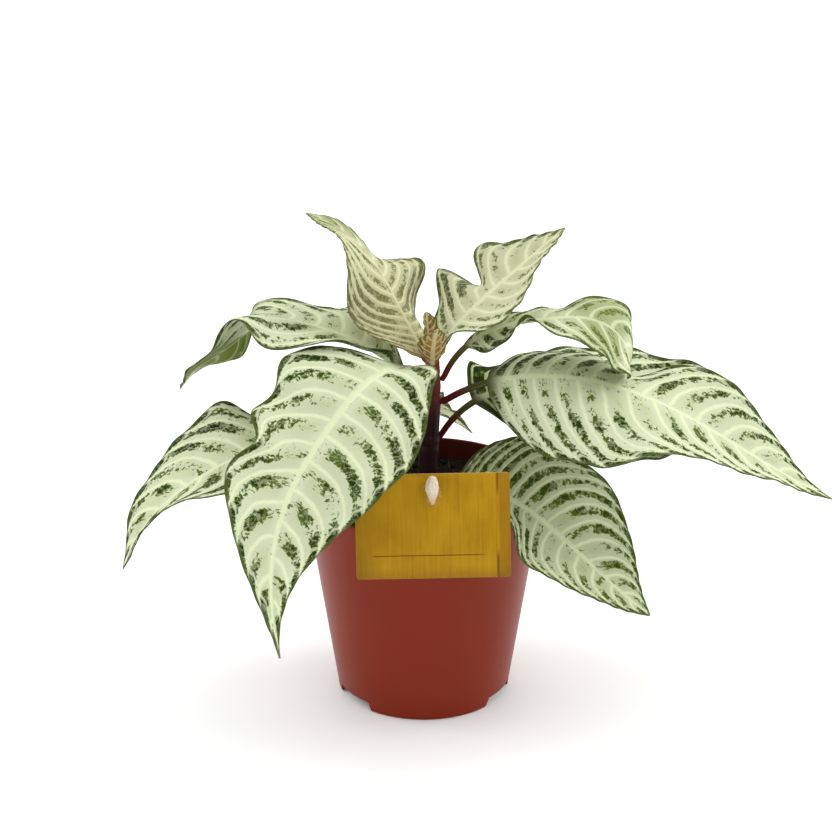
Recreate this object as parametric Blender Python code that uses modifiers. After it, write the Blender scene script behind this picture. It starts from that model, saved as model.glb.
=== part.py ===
# Potted zebra plant: variegated leaves on one short stem, in a round plastic nursery pot, with a card tag.
# Lengths are millimetres until they reach a mesh; the scene is in metres, +Z up, the pot standing on z = 0.
# Angles are degrees. Headings are read in plan: 0 points along +X, 90 along +Y, and -90 is the front.

import math

import bmesh
import bpy
import numpy as np
from mathutils import Matrix, Vector, noise

MM = 0.001
GAP = 0.3                      # clearance between pieces that touch on the real plant

# Pot: a thin tapered shell that stands on three feet
POT_RIM_RADIUS = 60.0
POT_BASE_RADIUS = 43.1
POT_HEIGHT = 109.4
POT_WALL = 1.3
POT_FLOOR_RAISE = 5.2          # underside of the floor above the surface that the feet stand on
POT_STEPS = 64
FOOT_COUNT = 3
FOOT_TURN = 4.5                # the front foot stands this much round from the front
NOTCH_ANGLE = 36.0
NOTCH_HEIGHT = 4.8
DRAIN_COUNT = 6
DRAIN_RADIUS = 4.0
DRAIN_CIRCLE = 27.0

# Soil
SOIL_TOP = 100.0
SOIL_BOTTOM = POT_FLOOR_RAISE + POT_WALL + GAP
SOIL_LUMP = 1.6
SOIL_STEPS = 44
SOIL_RINGS = (1.0, 0.93, 0.8, 0.66, 0.52, 0.39, 0.27, 0.17)

# Stem: its sideways place and its radius at heights spread evenly from foot to top
STEM_FOOT = 62.0
STEM_TOP = 186.0
STEM_SWAY = (1.8, 1.8, 2.2, 4.6, 4.6)
STEM_RADIUS = (5.0, 5.0, 4.6, 3.5, 2.2)
STEM_POINTS = 24
NODE_SWELL = 0.5
NODE_LENGTH = 3.0

# Leaf blades
BLADE = 0.75                   # thickness of a blade at its margin
PETIOLE_HALF = 1.8
TIP_HALF = 0.4
PETIOLE_DEPTH = 3.1
MIDRIB_DEPTH = 1.9
LEAF_COLUMNS = 8
STALK_ROWS = 3
BASE_ROWS = 6
BASE_SHARE = 0.12
BASE_LEAST = 7.0
MIDRIB_STEPS = 240
ROW_LENGTH = 9.0
LEAST_ROWS = 14
SOFT_FOLD = 0.15               # a half narrower than this share of the leaf is folded less
SOFT_TIP = 0.08                # and so is the last of the blade

# Tag, hung in front of the rim, and its cotton tie
TAG_WIDTH = 74.3
TAG_HEIGHT = 51.0
TAG_THICK = 0.8
TAG_CORNER = 1.5
TAG_MIDDLE = 4.5               # its middle, right of the pot's axis
TAG_OVER_RIM = 31.0            # how far its top edge stands above the rim that it leans on
TAG_LEAN = 15.0                # the tie draws its top back over the rim, so its foot stands out
TAG_TURN = 1.1
TAG_HOLE_RADIUS = 2.1
TAG_HOLE_DROP = 3.6
TIE_RADIUS = 1.2
# The tie by the card: how far below the hole, how far out from the card's back, and its radius
TIE_AT_TAG = ((6.0, -7.5, 1.2), (1.2, -3.0, 1.2), (0.0, 0.4, 1.2), (-0.6, 3.0, 1.6), (1.0, 5.2, 2.7),
              (4.2, 5.4, 3.2), (7.8, 4.9, 2.9), (11.0, 4.1, 1.8), (13.6, 3.4, 0.7))

# Each leaf: the height of its foot on the stem, its whole length with the petiole, its width, and then values
# at points spread evenly from foot to tip. Rise is the slope of the midrib, head its heading, roll lifts the
# left half, left and right fold each half up from the midrib, and curl bends each half further.
# Taper is the power of the outline towards base and tip; a lobe is (side, place, spread, reach, lift);
# wave is (height, count, phase) of the margin.
LEAVES = {
    "leaf_top_left": dict(
        height=174, length=104, petiole=2, width=72, taper=(0.91, 0.98),
        rise=(44, 42, 42, 27, 11), head=(127, 126, 132, 148, 160), roll=(9, 12, 33, 23, 14),
        left=(22, 6, 11, 0), right=(-18, -18, -9, 14), curl=(-28, -31, -16, -2),
        lobes=(("right", 0.49, 0.13, -8, 27),), wave=(0.8, 3, 30)),
    "leaf_top_right": dict(
        height=182, length=86, petiole=4, width=51, taper=(0.52, 1.1),
        rise=(54, 41, 35, 36, 36), head=(29, 21, 23, 21, 21), roll=(-12, -1, 5, -1, 6),
        left=(3, 4, 11, 21), right=(12, 1, 4, 4), curl=(8, -1, 7, 15),
        lobes=(("left", 0.3, 0.1, 9, 9), ("left", 0.4, 0.07, -11, -12), ("left", 0.57, 0.1, 4, 4),
               ("right", 0.05, 0.1, -13, 0)),
        wave=(0.6, 3, 10)),
    "leaf_right_high": dict(
        height=166, length=126, petiole=21, width=50, taper=(0.91, 0.35),
        rise=(73, 39, 12, 0, -45, -102), head=(2, -2, -2, 2, 10, 23), roll=(35, 19, 14, 5, 29, 28),
        left=(-7, -8, -9, -7, 0), right=(-9, 0, 0, 5, 6), curl=(-20, -12, -12, -4, 6),
        lobes=(("right", 0.09, 0.08, 4, -2), ("right", 0.34, 0.09, -11, 8), ("right", 0.8, 0.1, 2, 1)),
        wave=(1.2, 5, 90)),
    "leaf_left_front": dict(
        height=171, length=203, petiole=16, width=85, taper=(0.74, 1.62),
        rise=(34, -18, -28, -37, -54), head=(-141, -126, -118, -97, -68), roll=(17, -11, -13, -19, -20),
        left=(12, -2, -7, -15), right=(7, 13, 10, 7), curl=(-4, -3, -3, -6),
        lobes=(("left", 0.01, 0.08, 13, 7), ("right", 0.31, 0.07, -10, -5), ("right", 0.46, 0.06, -14, 2)),
        wave=(1.5, 5, 40)),
    "leaf_right": dict(
        height=155, length=214, petiole=26, width=98, taper=(0.59, 1.27),
        rise=(38, 3, -23, -33, -28), head=(-17, -6, -3, -2, 4), roll=(35, 27, 19, 23, 12),
        left=(-12, -21, 1, 3), right=(2, 1, 13, 17), curl=(-18, -22, 7, 15),
        lobes=(("left", 0.41, 0.08, -11, -11), ("right", 0.38, 0.07, 4, 0), ("right", 0.55, 0.1, -4, 1)),
        wave=(1.2, 5, 0)),
    "leaf_left_back": dict(
        height=163, length=153, petiole=14, width=86, taper=(0.9, 1.05),
        rise=(36, 29, 14, 1, -42, -37, -62), head=(168, 165, 164, 159, 172, 159, 152),
        roll=(-1, -1, 7, 23, 6, 26, -11), left=(-2, -6, -2, 13, -12, -22), right=(7, 6, 8, 4, 9, 7),
        curl=(-2, -4, 2, 9, -5, -17),
        lobes=(("left", 0.06, 0.1, -8, 6), ("left", 0.23, 0.13, -10, 8), ("left", 0.43, 0.1, 0, -21)),
        wave=(1.5, 4, 200)),
    "leaf_right_low": dict(
        height=134, length=178, petiole=25, width=94, taper=(0.78, 0.78),
        rise=(58, 5, -22, -8, -5), head=(25, 15, 6, -2, -9), roll=(23, 17, 16, 11, 14),
        left=(-8, -5, 6, 16), right=(-14, -8, 5, 15), curl=(-38, -22, 5, 28),
        lobes=(("left", 0.02, 0.07, 16, 16),), wave=(1.5, 5, 180)),
    "leaf_left": dict(
        height=134, length=182, petiole=18, width=88, taper=(0.8, 1.18),
        rise=(27, 9, -11, -37, -71), head=(213, 207, 201, 196, 191), roll=(19, 10, -3, 2, -6),
        left=(-12, -4, 8, 19), right=(-18, -8, 4, 13), curl=(-31, -14, 7, 25),
        lobes=(("right", 0.47, 0.08, 1, 9),), wave=(1.5, 4, 100)),
    "leaf_right_front": dict(
        height=113, length=136, petiole=12, width=70, taper=(0.72, 1.03),
        rise=(20, -6, -23, -30, -25), head=(-37, -35, -39, -36, -32), roll=(40, 30, 31, 8, 4),
        left=(0, 22, 13, 0), right=(4, 13, 7, -2), curl=(5, 34, 16, -6),
        lobes=(("right", 0.36, 0.14, -19, 2),), wave=(1.2, 4, 60)),
    "leaf_back": dict(
        height=129, length=153, petiole=14, width=41, taper=(0.74, 1.3),
        rise=(28, -6, -26, -30, -48), head=(114, 99, 78, 53, 29), roll=(-7, -6, -3, -8, -24),
        left=(0, 0, 0, -1), right=(4, 3, 4, 11), curl=(-1, 0, 1, 7),
        lobes=(), wave=(1.5, 4, 120)),
    "leaf_young_front": dict(
        height=175, length=27, petiole=1.5, width=15, taper=(0.65, 0.75),
        rise=(60, 63, 64), head=(-95, -82, -58), roll=(0, 0, 0),
        left=(22, 20, 8), right=(20, 18, 8), curl=(22, 18, 6),
        lobes=(), wave=(0.6, 3, 0)),
    "leaf_young_back": dict(
        height=179, length=21, petiole=1.5, width=10, taper=(0.6, 0.7),
        rise=(82, 84, 82), head=(120, 130, 140), roll=(0, 0, 0),
        left=(25, 25, 10), right=(25, 25, 10), curl=(30, 25, 10),
        lobes=(), wave=(0.5, 3, 90)),
}

# Colours as linear red, green and blue, then roughness
FINISHES = {
    "terracotta plastic": ((0.25, 0.045, 0.022), 0.38),
    "peat soil": ((0.012, 0.008, 0.006), 0.95),
    "stem bark": ((0.06, 0.014, 0.018), 0.55),
    "leaf": ((0.42, 0.55, 0.33), 0.45),
    "young leaf": ((0.35, 0.27, 0.1), 0.55),
    "card": ((0.48, 0.25, 0.025), 0.55),
    "cotton": ((0.75, 0.6, 0.42), 0.9),
}


def clear_scene():
    for old in list(bpy.data.objects):
        bpy.data.objects.remove(old, do_unlink=True)


def make_collection(name):
    group = bpy.data.collections.new(name)
    bpy.context.scene.collection.children.link(group)
    return group


def finish(name):
    colour, roughness = FINISHES[name]
    mat = bpy.data.materials.get(name) or bpy.data.materials.new(name)
    mat.use_nodes = True
    shader = mat.node_tree.nodes["Principled BSDF"]
    shader.inputs["Base Color"].default_value = (*colour, 1.0)
    shader.inputs["Roughness"].default_value = roughness
    return mat


def add_object(name, data, group, material=None):
    obj = bpy.data.objects.new(name, data)
    group.objects.link(obj)
    if material:
        data.materials.append(finish(material))
    return obj


def mark_cutter(obj):
    obj.hide_render = True
    obj.display_type = "WIRE"


def ease(keys, place):
    """A smooth curve through values that are spread evenly from 0 to 1."""
    keys = np.asarray(keys, float)
    last = len(keys) - 1
    x = np.clip(place, 0.0, 1.0) * last
    i = np.minimum(x.astype(int), last - 1)
    f = x - i
    slope = np.gradient(keys)
    return ((2 * f**3 - 3 * f**2 + 1) * keys[i] + (f**3 - 2 * f**2 + f) * slope[i]
            + (3 * f**2 - 2 * f**3) * keys[i + 1] + (f**3 - f**2) * slope[i + 1])


def stem_at(height):
    """The stem's sideways place and its radius, with a swelling where each leaf grows."""
    place = np.array([(height - STEM_FOOT) / (STEM_TOP - STEM_FOOT)])
    swell = max(math.exp(-((height - leaf["height"]) / NODE_LENGTH)**2) for leaf in LEAVES.values())
    return float(ease(STEM_SWAY, place)[0]), float(ease(STEM_RADIUS, place)[0]) + NODE_SWELL * swell


def pot_radius(height):
    return POT_BASE_RADIUS + (POT_RIM_RADIUS - POT_BASE_RADIUS) * height / POT_HEIGHT


def evaluated_mesh(obj):
    """The object's mesh with its modifiers, caps and seams welded."""
    graph = bpy.context.evaluated_depsgraph_get()
    graph.update()
    data = bpy.data.meshes.new_from_object(obj.evaluated_get(graph))
    work = bmesh.new()
    work.from_mesh(data)
    bmesh.ops.remove_doubles(work, verts=work.verts, dist=1e-6)
    work.to_mesh(data)
    work.free()
    return data


def turned(name, profile, steps, group, material):
    """A profile of (radius, height) pairs turned round the Z axis."""
    data = bpy.data.meshes.new(name)
    points = [(r * MM, 0.0, z * MM) for r, z in profile]
    data.from_pydata(points, [(i, i + 1) for i in range(len(points) - 1)], [])
    obj = add_object(name, data, group, material)
    screw = obj.modifiers.new("turn", "SCREW")
    screw.steps = steps
    screw.render_steps = steps
    screw.use_merge_vertices = True
    screw.merge_threshold = 0.00001
    screw.use_normal_calculate = True
    return obj


def boolean(obj, cutter, operation="DIFFERENCE"):
    cut = obj.modifiers.new(cutter.name, "BOOLEAN")
    cut.operation = operation
    cut.object = cutter


def shade(obj, angle=35):
    obj.data.shade_smooth()
    obj.data.set_sharp_from_angle(angle=math.radians(angle))


# Pot

def pot_profile():
    """Down the outside, round the skirt and the raised floor, and up the inside."""
    edge = POT_WALL / 2
    floor_top = POT_FLOOR_RAISE + POT_WALL
    profile = [(POT_RIM_RADIUS - edge, POT_HEIGHT), (POT_RIM_RADIUS - 0.1, POT_HEIGHT - 0.25)]
    profile += [(pot_radius(z), z) for z in (POT_HEIGHT - 0.9, 9.0, 0.5)]
    profile += [(POT_BASE_RADIUS - 0.4, 0.0), (POT_BASE_RADIUS - POT_WALL, 0.0)]
    profile += [(pot_radius(POT_FLOOR_RAISE) - POT_WALL, POT_FLOOR_RAISE), (0.0, POT_FLOOR_RAISE)]
    profile += [(0.0, floor_top), (pot_radius(floor_top) - POT_WALL - 2.0, floor_top)]
    profile += [(pot_radius(floor_top + 2.0) - POT_WALL, floor_top + 2.0)]
    profile += [(pot_radius(POT_HEIGHT) - POT_WALL, POT_HEIGHT - 0.9)]
    profile += [(POT_RIM_RADIUS - POT_WALL + 0.1, POT_HEIGHT - 0.25), (POT_RIM_RADIUS - edge, POT_HEIGHT)]
    return profile


def notch_cutters(group):
    """Rounded blocks that cut the skirt into feet. One foot is in front."""
    chord = 2 * POT_BASE_RADIUS * math.sin(math.radians(NOTCH_ANGLE / 2))
    for i in range(FOOT_COUNT):
        heading = FOOT_TURN - 90 + (i + 0.5) * 360 / FOOT_COUNT
        bpy.ops.mesh.primitive_cube_add(size=1.0)
        cutter = bpy.context.active_object
        cutter.name = f"notch_cutter_{i + 1}"
        size = Matrix.Diagonal((24 * MM, chord * MM, 2 * NOTCH_HEIGHT * MM, 1.0))
        cutter.data.transform(size)
        cutter.location = Vector((math.cos(math.radians(heading)), math.sin(math.radians(heading)), 0))
        cutter.location *= POT_BASE_RADIUS * MM
        cutter.rotation_euler.z = math.radians(heading)
        round_off = cutter.modifiers.new("round", "BEVEL")
        round_off.width = 2.4 * MM
        round_off.segments = 3
        bpy.context.collection.objects.unlink(cutter)
        group.objects.link(cutter)
        mark_cutter(cutter)
        yield cutter


def drain_cutters(group):
    for i in range(DRAIN_COUNT):
        heading = math.radians(i * 360 / DRAIN_COUNT)
        bpy.ops.mesh.primitive_cylinder_add(vertices=16, radius=DRAIN_RADIUS * MM, depth=8 * MM)
        cutter = bpy.context.active_object
        cutter.name = f"drain_cutter_{i + 1}"
        cutter.location = (DRAIN_CIRCLE * MM * math.cos(heading), DRAIN_CIRCLE * MM * math.sin(heading),
                           (POT_FLOOR_RAISE + POT_WALL / 2) * MM)
        bpy.context.collection.objects.unlink(cutter)
        group.objects.link(cutter)
        mark_cutter(cutter)
        yield cutter


def make_pot(parts, cutters):
    pot = turned("pot", pot_profile(), POT_STEPS, parts, "terracotta plastic")
    for cutter in [*notch_cutters(cutters), *drain_cutters(cutters)]:
        boolean(pot, cutter)
    return pot


# Soil

def make_soil(parts):
    """A filling with a lumpy top and a plain hole that the stem stands in."""
    sway = STEM_SWAY[0]
    hole = STEM_RADIUS[0] + 0.1 + GAP
    rim = pot_radius(SOIL_TOP) - POT_WALL - GAP
    foot = pot_radius(SOIL_BOTTOM) - POT_WALL - GAP - 2.2
    shoulder = pot_radius(SOIL_BOTTOM + 2.2) - POT_WALL - GAP
    rings = [max(rim * share, hole + 1.5) for share in SOIL_RINGS]
    profile = [(0.0, STEM_FOOT - GAP), (hole, STEM_FOOT - GAP), (hole, SOIL_TOP)]
    profile += [(r, SOIL_TOP) for r in reversed(rings)]
    profile += [(shoulder, SOIL_BOTTOM + 2.2), (foot, SOIL_BOTTOM), (0.0, SOIL_BOTTOM)]
    blank = turned("soil_blank", profile, SOIL_STEPS, parts, None)
    data = evaluated_mesh(blank)
    bpy.data.objects.remove(blank)
    work = bmesh.new()
    work.from_mesh(data)
    bmesh.ops.recalc_face_normals(work, faces=work.faces)
    work.to_mesh(data)
    work.free()
    for vert in data.vertices:
        reach = math.hypot(vert.co.x, vert.co.y) / MM
        height = vert.co.z / MM
        if height > SOIL_TOP - 1.0 and hole + 1.0 < reach < rim - 0.5:
            lump = noise.noise(Vector((vert.co.x, vert.co.y, 0.0)) / (9 * MM))
            vert.co.z += SOIL_LUMP * lump * MM
        if height > STEM_FOOT - 1.0:
            vert.co.x += sway * MM * max(0.0, 1.0 - max(reach - hole, 0.0) / (rim - hole - 1.0))
    data.materials.append(finish("peat soil"))
    data.name = "soil"
    soil = bpy.data.objects.new("soil", data)
    parts.objects.link(soil)
    return soil


# Stem

def tube(name, points, radii, sides, group, material):
    """A round tube along points, with its own radius at each, as a closed mesh."""
    curve = bpy.data.curves.new(name, "CURVE")
    curve.dimensions = "3D"
    curve.bevel_depth = MM
    curve.bevel_resolution = (sides - 4) // 2
    curve.use_fill_caps = True
    line = curve.splines.new("POLY")
    line.points.add(len(points) - 1)
    for spot, place, radius in zip(line.points, points, radii):
        spot.co = (*[c * MM for c in place], 1.0)
        spot.radius = radius
    blank = add_object(name + "_blank", curve, group)
    data = evaluated_mesh(blank)
    bpy.data.objects.remove(blank)
    bpy.data.curves.remove(curve)
    data.name = name
    obj = add_object(name, data, group, material)
    shade(obj, 60)
    return obj


def make_stem(parts):
    heights = np.concatenate([[STEM_FOOT, 84.0], np.linspace(SOIL_TOP, STEM_TOP, STEM_POINTS)])
    places = [stem_at(z) for z in heights]
    points = [(sway, 0.0, z) for (sway, radius), z in zip(places, heights)]
    radii = [radius for sway, radius in places]
    points.append((STEM_SWAY[-1], 0.0, STEM_TOP + 1.2))
    radii.append(STEM_RADIUS[-1] * 0.45)
    return tube("stem", points, radii, 12, parts, "stem bark")


# Leaves

def leaf_foot(leaf):
    """Where the petiole meets the stem, just clear of the bark."""
    sway, radius = stem_at(leaf["height"])
    heading = math.radians(leaf["head"][0])
    reach = radius + GAP
    return np.array([sway + reach * math.cos(heading), reach * math.sin(heading), leaf["height"]])


def directions(leaf, place):
    """Unit vectors along the midrib and, before any roll, to its left and up."""
    rise = np.radians(ease(leaf["rise"], place))
    head = np.radians(ease(leaf["head"], place))
    along = np.stack([np.cos(rise) * np.cos(head), np.cos(rise) * np.sin(head), np.sin(rise)], -1)
    left = np.stack([-np.sin(head), np.cos(head), 0 * head], -1)
    return along, left, np.cross(along, left)


def row_places(leaf, rows):
    """Where the cross rows lie: a few on the petiole, close ones at the blade's base, even ones beyond."""
    stalk = leaf["petiole"] / leaf["length"]
    shoulder = stalk + max(BASE_SHARE * (1 - stalk), BASE_LEAST / leaf["length"])
    return np.concatenate([np.linspace(0, stalk, STALK_ROWS + 1)[:-1],
                           np.linspace(stalk, shoulder, BASE_ROWS + 1)[:-1],
                           np.linspace(shoulder, 1, rows - STALK_ROWS - BASE_ROWS + 1)])


def midrib(leaf, place):
    """Points along the midrib, added up in short steps from the foot."""
    steps = np.linspace(0, 1, MIDRIB_STEPS + 1)
    along = directions(leaf, (steps[1:] + steps[:-1]) / 2)[0]
    foot = leaf_foot(leaf)
    line = np.concatenate([[foot], foot + np.cumsum(along, 0) * leaf["length"] / MIDRIB_STEPS])
    return np.stack([np.interp(place, steps, line[:, k]) for k in range(3)], -1)


def outline(leaf, place):
    """The half width at each place, and the share of the widest place, without lobes."""
    blade = np.clip((place * leaf["length"] - leaf["petiole"]) / (leaf["length"] - leaf["petiole"]), 0, 1)
    base, tip = leaf["taper"]
    widest = base / (base + tip)
    share = (blade / widest)**base * ((1 - blade) / (1 - widest))**tip
    return blade, share


def leaf_point_grid(leaf, place, columns):
    """Surface points in rows from foot to tip and in columns from the right margin to the left one."""
    middle = midrib(leaf, place)
    along, left, up = directions(leaf, place)
    roll = np.radians(ease(leaf["roll"], place))[:, None]
    side_axis = left * np.cos(roll) + up * np.sin(roll)
    up_axis = up * np.cos(roll) - left * np.sin(roll)
    blade, share = outline(leaf, place)
    curl = np.radians(ease(leaf["curl"], place))
    height, count, phase = leaf["wave"]
    stalk_half = min(PETIOLE_HALF, 0.5 + 0.019 * leaf["width"])
    grid = np.zeros((len(place), columns + 1, 3))
    for j, across in enumerate(np.linspace(-1, 1, columns + 1)):
        side = "left" if across > 0 else "right"
        sign = 1 if across > 0 else -1
        reach = abs(across)
        half = leaf["width"] / 2 * share
        lift = np.zeros_like(place)
        for lobe_side, spot, spread, extra, rise in leaf["lobes"]:
            if lobe_side == side:
                swell = np.exp(-((blade - spot) / spread)**2) * np.clip(blade / 0.06, 0, 1)
                half = half + extra * swell
                lift = lift + rise * swell * reach**2
        half = half * (blade > 0) + stalk_half * (1 - blade) + TIP_HALF * blade
        soft = np.clip(half / (SOFT_FOLD * leaf["width"] + 2.0), 0, 1) * np.clip((1 - blade) / SOFT_TIP, 0, 1)
        fold = np.radians(ease(leaf[side], place)) * soft
        bends = [fold + curl * soft * reach * (k + 0.5) / 6 for k in range(6)]
        out = half * reach * np.mean([np.cos(b) for b in bends], 0)
        over = half * reach * np.mean([np.sin(b) for b in bends], 0) + lift
        over = over + height * reach**2 * share * np.sin(2 * np.pi * count * blade + math.radians(phase) * sign)
        grid[:, j] = middle + side_axis * (sign * out)[:, None] + up_axis * over[:, None]
    return grid


def seat(leaf, grid):
    """Move a leaf along its heading until its nearest point is just clear of the bark."""
    turn = math.radians(leaf["head"][0])
    outward = np.array([math.cos(turn), math.sin(turn), 0.0])
    for _ in range(3):
        clear = 99.0
        for spot in grid.reshape(-1, 3):
            if abs(spot[2] - leaf["height"]) < 30:
                sway, radius = stem_at(spot[2])
                clear = min(clear, math.hypot(spot[0] - sway, spot[1]) - radius)
        grid = grid + outward * (GAP - clear)
    return grid


def leaf_depth(leaf, place, columns):
    """Thickness at each grid point: a thin blade with a thicker midrib that grows into the petiole."""
    blade, share = outline(leaf, place)
    blade, share = blade[:, None], share[:, None]
    across = np.abs(np.linspace(-1, 1, columns + 1))[None]
    stalk_depth = min(PETIOLE_DEPTH, 1.0 + 0.035 * leaf["width"])
    rib_depth = min(MIDRIB_DEPTH, 0.6 * stalk_depth)
    rib = BLADE + (rib_depth - BLADE) * (1 - blade) * (across < 0.1)
    aside = across * leaf["width"] / 2 * share * (blade > 0)
    stalk = np.clip(1 - blade / 0.05, 0, 1)**2 * np.clip(1 - aside / PETIOLE_HALF, 0, 1)
    round_depth = stalk_depth * (0.3 + 0.7 * np.sqrt(1 - across**2))
    return rib + (np.maximum(round_depth, rib) - rib) * stalk


def blade_mesh(name, grid, depth):
    """A grid laid on the surface points and split into triangles; its depths go in a vertex group."""
    rows, columns = grid.shape[0] - 1, grid.shape[1] - 1
    work = bmesh.new()
    bmesh.ops.create_grid(work, x_segments=columns, y_segments=rows, size=0.5)
    weights = []
    for vert in work.verts:
        i = round((vert.co.y + 0.5) * rows)
        j = round((0.5 - vert.co.x) * columns)
        vert.co = Vector(grid[i, j] * MM)
        weights.append(float(depth[i, j]) / PETIOLE_DEPTH)
    bmesh.ops.triangulate(work, faces=work.faces, quad_method="FIXED")
    data = bpy.data.meshes.new(name)
    work.to_mesh(data)
    work.free()
    return data, weights


def make_blade(name, grid, depth, group, material):
    data, weights = blade_mesh(name, grid, depth)
    obj = add_object(name, data, group, material)
    thick = obj.vertex_groups.new(name="depth")
    for i, weight in enumerate(weights):
        thick.add([i], weight, "REPLACE")
    skin = obj.modifiers.new("thickness", "SOLIDIFY")
    skin.thickness = PETIOLE_DEPTH * MM
    skin.vertex_group = "depth"
    skin.offset = -1.0
    return obj


def make_leaf(name, leaf, parts):
    rows = round(LEAST_ROWS + leaf["length"] / ROW_LENGTH)
    place = row_places(leaf, rows)
    grid = seat(leaf, leaf_point_grid(leaf, place, LEAF_COLUMNS))
    finish_name = "young leaf" if "young" in name else "leaf"
    depth = leaf_depth(leaf, place, LEAF_COLUMNS)
    obj = make_blade(name, grid, depth, parts, finish_name)
    obj.data.shade_smooth()
    return obj


# Tag and tie

def on_tag(across, down, out):
    """A place on the leaning card: right of its middle, below its top edge, and out from its back."""
    lean, turn = math.radians(TAG_LEAN), math.radians(TAG_TURN)
    up = TAG_OVER_RIM - down
    side = across * math.cos(turn) - up * math.sin(turn)
    rise = across * math.sin(turn) + up * math.cos(turn)
    forward = POT_RIM_RADIUS + 1.2 * GAP - rise * math.sin(lean) + out * math.cos(lean)
    return TAG_MIDDLE + side, -forward, POT_HEIGHT + rise * math.cos(lean) + out * math.sin(lean)


def make_tag(parts, cutters):
    bpy.ops.mesh.primitive_cube_add(size=1.0)
    tag = bpy.context.active_object
    tag.name = "tag"
    tag.data.name = "tag"
    tag.data.transform(Matrix.Diagonal((TAG_WIDTH * MM, TAG_THICK * MM, TAG_HEIGHT * MM, 1.0)))
    tag.location = Vector(on_tag(0, TAG_HEIGHT / 2, TAG_THICK / 2)) * MM
    tag.rotation_euler = (math.radians(-TAG_LEAN), math.radians(-TAG_TURN), 0.0)
    bpy.context.collection.objects.unlink(tag)
    parts.objects.link(tag)
    tag.data.materials.append(finish("card"))
    corner_weights(tag)
    round_off = tag.modifiers.new("corners", "BEVEL")
    round_off.limit_method = "WEIGHT"
    round_off.width = TAG_CORNER * MM
    round_off.segments = 4
    bpy.ops.mesh.primitive_cylinder_add(vertices=20, radius=TAG_HOLE_RADIUS * MM, depth=6 * MM)
    hole = bpy.context.active_object
    hole.name = "tag_hole_cutter"
    hole.location = Vector(on_tag(0, TAG_HOLE_DROP, TAG_THICK / 2)) * MM
    hole.rotation_euler.x = math.radians(90 - TAG_LEAN)
    bpy.context.collection.objects.unlink(hole)
    cutters.objects.link(hole)
    mark_cutter(hole)
    boolean(tag, hole)
    return tag


def corner_weights(tag):
    """Bevel weight on the four short edges through the card."""
    weights = tag.data.attributes.new("bevel_weight_edge", "FLOAT", "EDGE")
    for edge in tag.data.edges:
        a, b = (tag.data.vertices[i].co for i in edge.vertices)
        through = abs(a.y - b.y) > 0.5 * TAG_THICK * MM
        weights.data[edge.index].value = 1.0 if through else 0.0


def tie_route():
    """Points and radii: round the stem's foot, up behind the card, through its hole, and down in a tassel."""
    sway, radius = stem_at(SOIL_TOP + 6)
    loop = radius + TIE_RADIUS + 2 * GAP
    route = []
    for step in range(8):
        angle = math.radians(-80 + 40 * step)
        route.append((sway + loop * math.cos(angle), loop * math.sin(angle), 107.6 - 0.45 * step, TIE_RADIUS))
    route += [(-2.6, -11.0, 105.2, 1.2), (0.2, -22.0, 108.5, 1.2), (2.6, -34.0, 117.0, 1.2)]
    for down, out, thick in TIE_AT_TAG:
        route.append((*on_tag(0, TAG_HOLE_DROP + down, out), thick))
    return route


def make_tie(parts):
    route = np.array(tie_route())
    steps = np.linspace(0, 1, 46)
    smooth = np.stack([ease(route[:, k], steps) for k in range(4)], -1)
    return tube("tag_tie", smooth[:, :3], smooth[:, 3], 8, parts, "cotton")


def centre_on_footprint(groups):
    """Move every piece so that the origin lies under the middle of the whole plant's box."""
    graph = bpy.context.evaluated_depsgraph_get()
    graph.update()
    low = Vector((1e9, 1e9, 1e9))
    high = -low
    for obj in groups[0].objects:
        seen = obj.evaluated_get(graph)
        for vert in seen.to_mesh().vertices:
            spot = obj.matrix_world @ vert.co
            low = Vector(map(min, low, spot))
            high = Vector(map(max, high, spot))
        seen.to_mesh_clear()
    shift = Vector(((low.x + high.x) / 2, (low.y + high.y) / 2, 0.0))
    for group in groups:
        for obj in group.objects:
            obj.location -= shift


def main():
    clear_scene()
    parts = make_collection("potted_zebra_plant")
    cutters = make_collection("cutters")
    make_pot(parts, cutters)
    make_soil(parts)
    make_stem(parts)
    for name, leaf in LEAVES.items():
        make_leaf(name, leaf, parts)
    make_tag(parts, cutters)
    make_tie(parts)
    bpy.context.view_layer.update()
    centre_on_footprint([parts, cutters])
    bpy.context.view_layer.update()


main()
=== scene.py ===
# Potted zebra plant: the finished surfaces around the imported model.
# Lengths are millimetres until they reach a mesh. Headings are degrees in plan, and -90 is the front.
import math
import random
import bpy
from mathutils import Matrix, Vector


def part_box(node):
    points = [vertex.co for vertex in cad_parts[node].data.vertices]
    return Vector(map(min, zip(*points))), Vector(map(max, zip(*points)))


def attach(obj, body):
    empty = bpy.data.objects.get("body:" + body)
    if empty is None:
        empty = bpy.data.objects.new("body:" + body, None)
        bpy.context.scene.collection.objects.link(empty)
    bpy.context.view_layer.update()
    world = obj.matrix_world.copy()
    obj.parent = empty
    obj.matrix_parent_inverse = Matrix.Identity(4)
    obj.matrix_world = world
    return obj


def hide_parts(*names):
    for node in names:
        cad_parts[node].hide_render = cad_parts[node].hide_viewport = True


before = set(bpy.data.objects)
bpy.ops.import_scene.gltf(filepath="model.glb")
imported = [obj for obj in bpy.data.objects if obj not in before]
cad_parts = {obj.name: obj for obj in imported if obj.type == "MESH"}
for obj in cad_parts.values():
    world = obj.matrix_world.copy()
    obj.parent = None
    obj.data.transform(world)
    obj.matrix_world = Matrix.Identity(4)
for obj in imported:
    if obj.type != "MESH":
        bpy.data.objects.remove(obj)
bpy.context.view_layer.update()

from types import SimpleNamespace

import bmesh
import bpy
import numpy as np
from mathutils import Matrix, Vector, noise

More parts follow.
